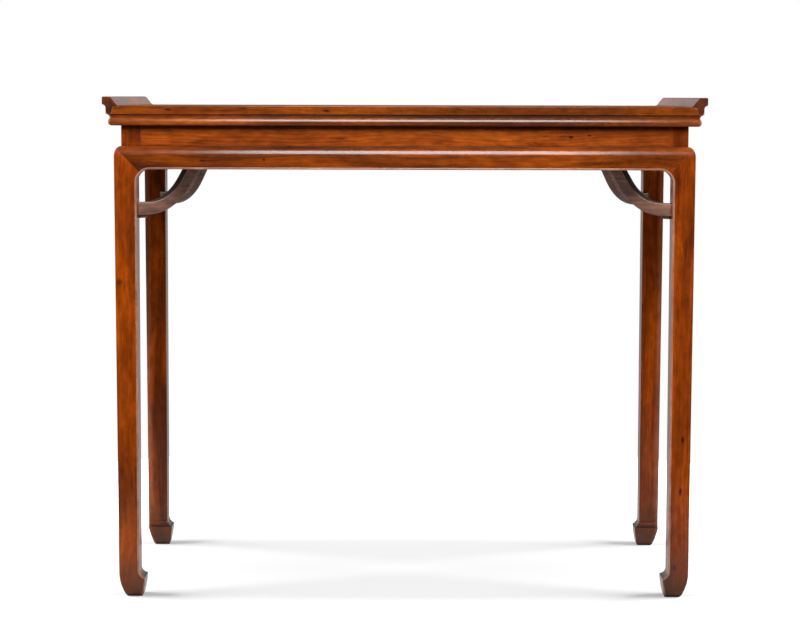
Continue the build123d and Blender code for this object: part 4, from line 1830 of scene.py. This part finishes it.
        post = []
        for u, v, z in ring:
            level = z if u >= self.width else min(z, crown - max(u, setback) * slope)
            if v >= self.lug:
                level = crown - self.apron_depth + self.gap
            post.append((posted(u), posted(v), level))
        rings.append(self._whole(post))
        rings.append(self._whole([(u, v, self.lay.underside) for u, v, _ in post]))
        return rings

    def _worn_base(
        self, ring: list[Point3], centre: float, turn: float
    ) -> list[Point3]:
        """The lowest ring drawn in towards its centre, part of the way round the worn edge.

        Args:
            ring: The lowest half ring.
            centre: Inset of the foot's centre.
            turn: How far round the worn edge, 0 to a quarter turn.

        Returns:
            The half ring drawn in.
        """
        pull = 1 - self.tread * (1 - math.sin(turn)) / (centre - self.base_outer)
        level = self.tread * (1 - math.cos(turn))
        drawn = [(centre + (u - centre) * pull, centre + (v - centre) * pull) for u, v, _ in ring]
        return [(u, v, level) for u, v in drawn]

    @staticmethod
    def _whole(half: list[Point3]) -> list[Point3]:
        """A ring from its half: the other half mirrors it over the corner's diagonal."""
        return half + [(v, u, z) for u, v, z in reversed(half)]

    def _half_ring(
        self, edge: Point2, way: Point2, rise: float, core_level: float, fade: float
    ) -> list[Point3]:
        """Half a ring, from the outer arris over one face to the inner corner.

        Args:
            edge: Inset and level of the face's inner edge.
            way: Outward normal of that edge.
            rise: Level at the outer arris.
            core_level: Level at the inner corner.
            fade: The bead's strength, 0 to 1.

        Returns:
            Insets along and across, and levels.
        """
        half = []
        outer, radius = self.outer_inset(rise), self.arris
        for turn in between(math.pi / 4, 0.0, 3):
            along, across = radius * (1 - math.sin(turn)), radius * (1 - math.cos(turn))
            half.append((outer + along, outer + across, rise))
        start = (outer + radius, rise)
        back = (edge[0] - way[0] * self.bead.width, edge[1] - way[1] * self.bead.width)
        for step in between(0.0, 1.0, 6)[1:-1]:
            level = start[1] + (back[1] - start[1]) * step
            half.append((start[0] + (back[0] - start[0]) * step, self.outer_inset(level), level))
        for depth, height in self.bead.rows():
            level = max(edge[1] - way[1] * depth, 0.0)
            half.append((edge[0] - way[0] * depth, self.outer_inset(level) - height * fade, level))
        if edge[1] > self.shaft_from:
            half += [(edge[0], out, edge[1]) for out in (0.010, 0.017, self.lug)]
        else:
            face = self.outer_inset(edge[1])
            half += [(edge[0], face + out, edge[1]) for out in (0.005, 0.010, 0.015)]
        core = min(edge[0], self.width) if edge[1] > self.square_from else edge[0]
        half += [(core, self.lug + (core - self.lug) * share, core_level) for share in (0.0, 0.45)]
        for turn in between(0.0, math.pi / 4, 2):
            along = core - self.inner_arris * (1 - math.cos(turn))
            across = core - self.inner_arris * (1 - math.sin(turn))
            half.append((along, across, core_level))
        return half


# ---------------------------------------------------------------- braces


@dataclass
class Braces:
    """Giant's-arm braces from the legs' inner corners up to the outer battens."""

    lay: SettingOut
    height: float = 0.0215
    width: float = 0.0146
    arris: float = 0.0012
    level: float = 0.662
    straight: float = 0.017
    lower_radius: float = 0.104
    upper_radius: float = 0.100
    slope: float = math.radians(52.5)
    pad: float = 0.020
    sink: float = 0.008
    leg_inset: float = 0.0373  # from a leg's outer faces to its inner corner
    head_offset: float = 0.017  # from the table's middle to a brace's upper end
    peg_radius: float = 0.00295
    peg_length: float = 0.0115
    peg_proud: float = 0.0002
    peg_sides: int = 28
    key_size: Point3 = (0.016, 0.0068, 0.0050)
    key_reach: float = 0.006  # from a leg's inner corner to the key's middle
    key_drop: float = 0.0026  # from a brace's underside to the key's middle

    def build(self, wood: Hardwood, peg_wood: Hardwood) -> None:
        """Builds the four braces, their pegs and their keys.

        Args:
            wood: Finish of the braces.
            peg_wood: Finish of the pegs and keys.
        """
        tree = self._tree()
        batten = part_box("top_right_batten")
        ceiling = batten[0].z
        pegs, keys = [], []
        for corner in Corner:
            name = f"brace_{corner.word}"
            x_sign, y_sign = corner.value
            foot = self.lay.at(corner, self.leg_inset, self.leg_inset, 0.0)
            head = Vector((x_sign * (batten[0].x + batten[1].x) / 2, y_sign * self.head_offset, 0))
            heading = (head - foot).normalized()
            path = self._path(ceiling - self.height / 2)
            scale = ((head - foot).length + self.pad / 2) / path[-1][0]
            points = [foot + heading * (along * scale) + Vector((0, 0, up)) for along, up in path]
            points[0] = foot - heading * self.sink + Vector((0, 0, path[0][1]))
            turn = math.atan2(heading.y, heading.x)
            seed = 61.0 + corner.number
            plank = Plank(Grain.ALONG_X, seed, (0.04, 0.03), (), 0.6, (0.0, 0.0, -turn))
            values = {
                "Width": self.width,
                "Height": self.height,
                "Arris": self.arris,
                "Material": wood.material(name, plank),
            }
            brace = tree.grow(name, outline_mesh(name, points, closed=False), values)
            Hand().finish(brace, 71.0 + corner.number)
            register(brace, f"{corner.word}_brace")
            pegs.append((head.x, head.y, ceiling - self.height))
            key_level = self.level - self.height / 2 - self.key_drop
            keys.append((foot + heading * self.key_reach + Vector((0, 0, key_level)), turn))
        self._pegs(pegs, peg_wood)
        self._keys(keys, peg_wood)

    def _path(self, top: float) -> list[Point2]:
        """Centre line from the leg: place along the plan line, and level.

        Args:
            top: Level of the line at the batten.

        Returns:
            The line's points.
        """
        level, slope = self.level, self.slope
        rise = top - level
        bends = (self.lower_radius + self.upper_radius) * (1 - math.cos(slope))
        ramp = (rise - bends) / math.sin(slope)
        points = [(0.0, level), (self.straight * 0.5, level), (self.straight, level)]
        radius = self.lower_radius
        points += [
            (self.straight + radius * math.sin(turn), level + radius * (1 - math.cos(turn)))
            for turn in between(0.0, slope, 12)[1:]
        ]
        along, up = points[-1]
        points += [
            (along + ramp * share * math.cos(slope), up + ramp * share * math.sin(slope))
            for share in (0.5, 1.0)
        ]
        along, up = points[-1]
        radius = self.upper_radius
        centre = (along + radius * math.sin(slope), up - radius * math.cos(slope))
        points += [
            (centre[0] - radius * math.sin(turn), centre[1] + radius * math.cos(turn))
            for turn in between(slope, 0.0, 12)[1:]
        ]
        along, up = points[-1]
        return points + [(along + self.pad / 2, up), (along + self.pad, up)]

    def _tree(self) -> Grower:
        """Tree that sweeps a section with rounded arrises along a path.

        Returns:
            The tree.
        """
        tree = Grower(
            "swept_brace",
            {"Width": float, "Height": float, "Arris": float, "Material": bpy.types.Material},
        )
        path = tree.add("GeometryNodeMeshToCurve", {0: tree.given["Geometry"]}).outputs[0]
        path = tree.add("GeometryNodeSetCurveNormal", {0: path}, mode="Z_UP").outputs[0]
        section = tree.add(
            "GeometryNodeCurvePrimitiveQuadrilateral",
            {"Width": tree.given["Width"], "Height": tree.given["Height"]},
        ).outputs[0]
        section = tree.add(
            "GeometryNodeFilletCurve",
            {0: section, "Count": 4, "Radius": tree.given["Arris"]},
            mode="POLY",
        ).outputs[0]
        swept = tree.add("GeometryNodeCurveToMesh", {0: path, 1: section, "Fill Caps": True})
        tree.close(swept.outputs[0])
        return tree

    def _scatter(self) -> Grower:
        """Tree that puts one turned pin on every point of the seed.

        Returns:
            The tree.
        """
        tree = Grower(
            "turned_pegs",
            {"Radius": float, "Length": float, "Seed": int, "Material": bpy.types.Material},
        )
        size = {"Radius": tree.given["Radius"], "Depth": tree.given["Length"]}
        pin = tree.add("GeometryNodeMeshCylinder", {"Vertices": self.peg_sides, **size}).outputs[0]
        spin = tree.add(
            "FunctionNodeRandomValue",
            {"Min": (0.0, 0.0, 0.0), "Max": (0.0, 0.0, math.tau), "Seed": tree.given["Seed"]},
            data_type="FLOAT_VECTOR",
        ).outputs[0]
        placed = tree.add(
            "GeometryNodeInstanceOnPoints",
            {"Points": tree.given["Geometry"], "Instance": pin, "Rotation": spin},
        ).outputs[0]
        tree.close(placed)
        return tree

    def _pegs(self, feet: list[Point3], wood: Hardwood) -> None:
        """Pegs up through the pads into the battens, a little proud below.

        Args:
            feet: Middle of each peg's lower end, at the pad's underside.
            wood: Their finish.
        """
        tree = self._scatter()
        lift = self.peg_length / 2 - self.peg_proud
        seed = bpy.data.meshes.new("brace_pegs")
        seed.from_pydata([(x, y, z + lift) for x, y, z in feet], [], [])
        plank = Plank(Grain.UPRIGHT, 81.0, (0.02, 0.02), (), 0.7)
        material = wood.material("brace_pegs", plank)
        values = {"Radius": self.peg_radius, "Length": self.peg_length, "Seed": 7}
        pegs = tree.grow("brace_pegs", seed, {**values, "Material": material})
        Hand(arris=0.0002, hollow=0.0).finish(pegs, 1.0)
        register(pegs, "brace_pins")

    def _keys(self, places: list[tuple[Vector, float]], wood: Hardwood) -> None:
        """Small wedges that lock the braces' tenons in the legs.

        Args:
            places: Middle and turn of each key.
            wood: Their finish.
        """
        shape = bmesh.new()
        for place, turn in places:
            block = bmesh.ops.create_cube(shape, size=1.0)["verts"]
            size = Matrix.Diagonal((*self.key_size, 1.0))
            put = Matrix.Translation(place) @ Matrix.Rotation(turn, 4, "Z") @ size
            bmesh.ops.transform(shape, matrix=put, verts=block)
        keys = linked("brace_keys", taken(shape, "brace_keys"))
        plank = Plank(Grain.ALONG_X, 83.0, (0.02, 0.02), (), 0.7)
        keys.data.materials.append(wood.material("brace_keys", plank))
        Hand(arris=0.0003, hollow=0.0).finish(keys, 2.0)
        register(keys, "brace_wedges")


# ---------------------------------------------------------------- the room


class Lit(Enum):
    """What a lamp lights: a lamp flagged off the floor leaves no shadow there."""

    TABLE = "EXCLUDE"
    FLOOR = "INCLUDE"


@dataclass(frozen=True)
class Lamp:
    """A soft area light, for the table or for the floor."""

    name: str
    place: Point3
    aim: Point3
    size: Point2
    power: float
    lit: Lit = Lit.TABLE

    def hang(self, floor: bpy.types.Object) -> None:
        """Hangs the lamp and turns it to its aim.

        Args:
            floor: The studio's floor.
        """
        data = bpy.data.lights.new(self.name, "AREA")
        data.shape = "RECTANGLE"
        data.size, data.size_y = self.size
        data.energy = self.power
        lamp = linked(self.name, data)
        lamp.visible_camera = False
        lamp.location = self.place
        sight = Vector(self.aim) - Vector(self.place)
        lamp.rotation_euler = sight.to_track_quat("-Z", "Y").to_euler()
        flagged = bpy.data.collections.new(f"{self.name}_flag")
        flagged.objects.link(floor)
        flagged.collection_objects[0].light_linking.link_state = self.lit.value
        lamp.light_linking.receiver_collection = flagged


@dataclass(frozen=True)
class Studio:
    """Pale floor, pale backdrop, soft lamps and the camera."""

    lamps: tuple[Lamp, ...] = (
        Lamp("front_box", (0.05, -2.38, 2.26), (0.04, -0.23, 0.79), (1.16, 1.4), 125.0),
        Lamp("left_box", (-2.7, -0.4, 1.0), (0.0, 0.0, 0.2), (1.2, 1.2), 26.0),
        Lamp("right_box", (2.7, -0.4, 1.0), (0.0, 0.0, 0.2), (1.2, 1.2), 26.0),
        Lamp("left_wash", (-2.3, 0.0, 1.1), (0.0, 0.0, 0.0), (1.7, 0.8), 106.0, Lit.FLOOR),
        Lamp("right_wash", (2.3, 0.0, 1.1), (0.0, 0.0, 0.0), (1.7, 0.8), 106.0, Lit.FLOOR),
    )
    floor_radius: float = 1.25
    dark_side: float = 0.03
    bright_side: float = 0.46
    floor_drop: float = 0.0001
    floor_white: float = 0.62
    bounce_white: float = 0.4
    eye: Point3 = (-0.0082, -3.5642, 0.8516)
    pan: float = -0.00024
    look_down: float = 0.11145
    roll: float = 0.00242
    lens: float = 90.0
    sensor: float = 36.0

    def set_up(self) -> None:
        """Lays the floor, hangs the lamps, lights the room and places the camera."""
        scene = bpy.context.scene
        floor = self._floor()
        for lamp in self.lamps:
            lamp.hang(floor)
        self._world(scene)
        scene.view_settings.view_transform = "Standard"
        scene.view_settings.look = "None"
        self._camera(scene)

    def _floor(self) -> bpy.types.Object:
        """A plain pale floor, a hair under the feet, that glows into the backdrop at its rim.

        Returns:
            The floor.
        """
        mesh = bpy.data.meshes.new("floor")
        radius, level = self.floor_radius, -self.floor_drop
        turns = between(0.0, math.tau, 96)[:-1]
        rim = [(radius * math.cos(turn), radius * math.sin(turn), level) for turn in turns]
        mesh.from_pydata(rim, [], [tuple(range(len(rim)))])
        floor = linked("floor", mesh)
        material = bpy.data.materials.new("pale_floor")
        sheet = blank(material)
        place = sheet.add("ShaderNodeTexCoord").outputs["Object"]
        away = sheet.vector("LENGTH", sheet.vector("MULTIPLY", place, (0.5, 1.8, 0.0)))
        glow = sheet.ranged(away, 0.36, 0.72, 0.07, 1.0, "SMOOTHSTEP")
        shown = sheet.add(
            "ShaderNodeBsdfPrincipled",
            {
                "Base Color": (*[self.floor_white] * 3, 1.0),
                "Roughness": 0.7,
                "Specular IOR Level": 0.1,
                "Emission Color": (1.0, 1.0, 1.0, 1.0),
                "Emission Strength": glow,
            },
        ).outputs[0]
        bounce = (*[self.bounce_white] * 3, 1.0)
        bounced = sheet.add("ShaderNodeBsdfDiffuse", {"Color": bounce}).outputs[0]
        seen = sheet.add("ShaderNodeLightPath").outputs["Is Camera Ray"]
        surface = sheet.add("ShaderNodeMixShader", {0: seen, 1: bounced, 2: shown}).outputs[0]
        sheet.add("ShaderNodeOutputMaterial", {"Surface": surface})
        mesh.materials.append(material)
        return floor

    def _world(self, scene: bpy.types.Scene) -> None:
        """White behind the table; the room is bright behind and above, dark in front.

        Args:
            scene: Blender's scene.
        """
        world = bpy.data.worlds.new("studio")
        sheet = blank(world)
        way = sheet.add("ShaderNodeTexCoord").outputs["Generated"]
        axes = sheet.add("ShaderNodeSeparateXYZ", {0: way}).outputs
        lift = sheet.math("MULTIPLY", sheet.math("MAXIMUM", axes["Z"], 0.0), 0.55)
        side = sheet.math("ADD", axes["Y"], lift)
        room = sheet.ranged(side, -0.3, 0.8, self.dark_side, self.bright_side, "SMOOTHSTEP")
        seen = sheet.add("ShaderNodeLightPath").outputs["Is Camera Ray"]
        strength = sheet.add("ShaderNodeMix", {0: seen, 2: room, 3: 1.0}).outputs[0]
        feeds = {"Color": (1.0, 1.0, 1.0, 1.0), "Strength": strength}
        backdrop = sheet.add("ShaderNodeBackground", feeds)
        sheet.add("ShaderNodeOutputWorld", {"Surface": backdrop.outputs[0]})
        scene.world = world

    def _camera(self, scene: bpy.types.Scene) -> None:
        """The camera, a long lens in front of the table.

        Args:
            scene: Blender's scene.
        """
        data = bpy.data.cameras.new("camera")
        data.lens = self.lens
        data.sensor_width = self.sensor
        data.sensor_fit = "HORIZONTAL"
        data.dof.use_dof = False
        camera = linked("camera", data)
        turn = Matrix.Rotation(self.pan, 4, "Z")
        tilt = Matrix.Rotation(math.pi / 2 - self.look_down, 4, "X")
        roll = Matrix.Rotation(self.roll, 4, "Z")
        camera.matrix_world = Matrix.Translation(self.eye) @ turn @ tilt @ roll
        scene.camera = camera


# ---------------------------------------------------------------- putting it together


def register(piece: bpy.types.Object, node: str) -> None:
    """Puts a finished piece in the place of its node, on the table's body.

    Args:
        piece: The finished piece.
        node: Name of the node that it stands for.
    """
    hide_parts(node)
    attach(piece, BODY)
    LOG.info("%s: %d faces", piece.name, len(piece.data.polygons))


# Knots, streaks and stains of the front, in the table's frame
TOP_KNOTS = (
    Knot((-0.130, -0.2355, 0.827), (0.007, 0.01, 0.0022)),
    Knot((-0.393, -0.2355, 0.829), (0.006, 0.01, 0.0018)),
    Knot((-0.266, -0.2355, 0.831), (0.006, 0.01, 0.0012), 0.6),
    Knot((0.16, -0.2355, 0.82), (0.40, 0.05, 0.05), 0.54),
)
WAIST_KNOTS = (
    Knot((0.277, -0.213, 0.784), (0.005, 0.01, 0.003)),
    Knot((0.308, -0.213, 0.787), (0.004, 0.01, 0.002)),
)
APRON_KNOTS = (
    Knot((-0.337, -0.2245, 0.744), (0.006, 0.01, 0.003), 0.85),
    Knot((-0.325, -0.2245, 0.744), (0.018, 0.01, 0.0016), 0.45),
    Knot((-0.235, -0.2245, 0.746), (0.003, 0.01, 0.0025)),
    Knot((-0.425, -0.2245, 0.742), (0.010, 0.01, 0.0012), 0.6),
    Knot((0.33, -0.2245, 0.741), (0.05, 0.01, 0.004), 0.5),
    Knot((0.38, -0.2245, 0.748), (0.11, 0.02, 0.03), 0.42),
)
LEG_KNOTS = {
    Corner.FRONT_LEFT: (
        Knot((-0.478, -0.2245, 0.540), (0.006, 0.01, 0.009), 0.7),
        Knot((-0.452, -0.2130, 0.786), (0.030, 0.02, 0.020), 0.55),
        Knot((-0.453, -0.2245, 0.200), (0.004, 0.01, 0.090), 0.5),
        Knot((-0.465, -0.2245, 0.200), (0.030, 0.02, 0.100), 0.35),
    ),
    Corner.FRONT_RIGHT: (
        Knot((0.471, -0.2245, 0.275), (0.003, 0.01, 0.006)),
        Knot((0.469, -0.2245, 0.186), (0.003, 0.01, 0.008)),
        Knot((0.461, -0.2245, 0.053), (0.004, 0.01, 0.006)),
        Knot((0.465, -0.2245, 0.200), (0.030, 0.02, 0.100), 0.2),
    ),
}
# Where in the pattern each leg's wood is cut, and how far it leans to the dark tones
LEG_SEEDS = {
    Corner.FRONT_LEFT: 41.0,
    Corner.FRONT_RIGHT: 43.7,
    Corner.BACK_LEFT: 46.4,
    Corner.BACK_RIGHT: 55.3,
}
LEG_TONES = {
    Corner.FRONT_LEFT: 0.4,
    Corner.FRONT_RIGHT: 0.35,
    Corner.BACK_LEFT: 0.75,
    Corner.BACK_RIGHT: 0.2,
}


def main() -> None:
    """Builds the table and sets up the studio."""
    logging.basicConfig(level=logging.INFO, format="%(message)s")
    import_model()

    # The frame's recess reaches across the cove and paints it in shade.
    top_wood = Hardwood(
        "frame_hardwood", "frame_wood", gold=(152, 72, 9), body=(108, 48, 9), recess=0.012
    )
    panel_wood = Hardwood("panel_hardwood", "panel_wood")
    inner_wood = Hardwood("inner_hardwood", "inner_wood", polish=0.45)
    # The waist's recess reaches down from the top's overhang and paints the shadow under it.
    waist_wood = Hardwood(
        "waist_hardwood",
        "waist_wood",
        gold=(146, 68, 14),
        body=(122, 53, 12),
        deep=(86, 35, 11),
        recess=0.016,
    )
    apron_wood = Hardwood(
        "apron_hardwood",
        "apron_wood",
        gold=(134, 60, 8),
        body=(96, 41, 9),
        deep=(60, 24, 8),
        rub_and_highlight=0.1,
    )
    leg_wood = Hardwood(
        "leg_hardwood", "leg_wood", gold=(164, 71, 4), body=(120, 49, 6), rub_and_highlight=0.1, feet=True
    )
    # Pale greyish swatches paint in the sheen of the bright room on the braces' faces; they also
    # get painted shade on faces that look up and down.
    brace_wood = Hardwood(
        "brace_hardwood",
        "brace_wood",
        gold=(140, 98, 78),
        body=(118, 80, 64),
        deep=(80, 52, 42),
        vein=(50, 32, 27),
        worn=(205, 184, 168),
        rub_and_highlight=0.7,
        polish=0.42,
        soot=0.9,
    )
    peg_wood = Hardwood(
        "peg_hardwood", "peg_wood", gold=(100, 50, 24), body=(76, 34, 17), polish=0.42
    )

    bead = BeadRun()
    lay = SettingOut.read(bead.proud, throw=Top.throw)
    shoulder = Shoulder(setback=lay.setback, height=0.0165, top=lay.apron_top)
    Top(lay).build(top_wood, panel_wood, inner_wood)
    Waist(lay).build(waist_wood)
    Apron(lay, shoulder, bead).build(apron_wood)
    for corner in Corner:
        HoofLeg(lay, shoulder, bead).build(corner, leg_wood)
    Braces(lay).build(brace_wood, peg_wood)

    Studio().set_up()


if __name__ == "__main__":
    main()
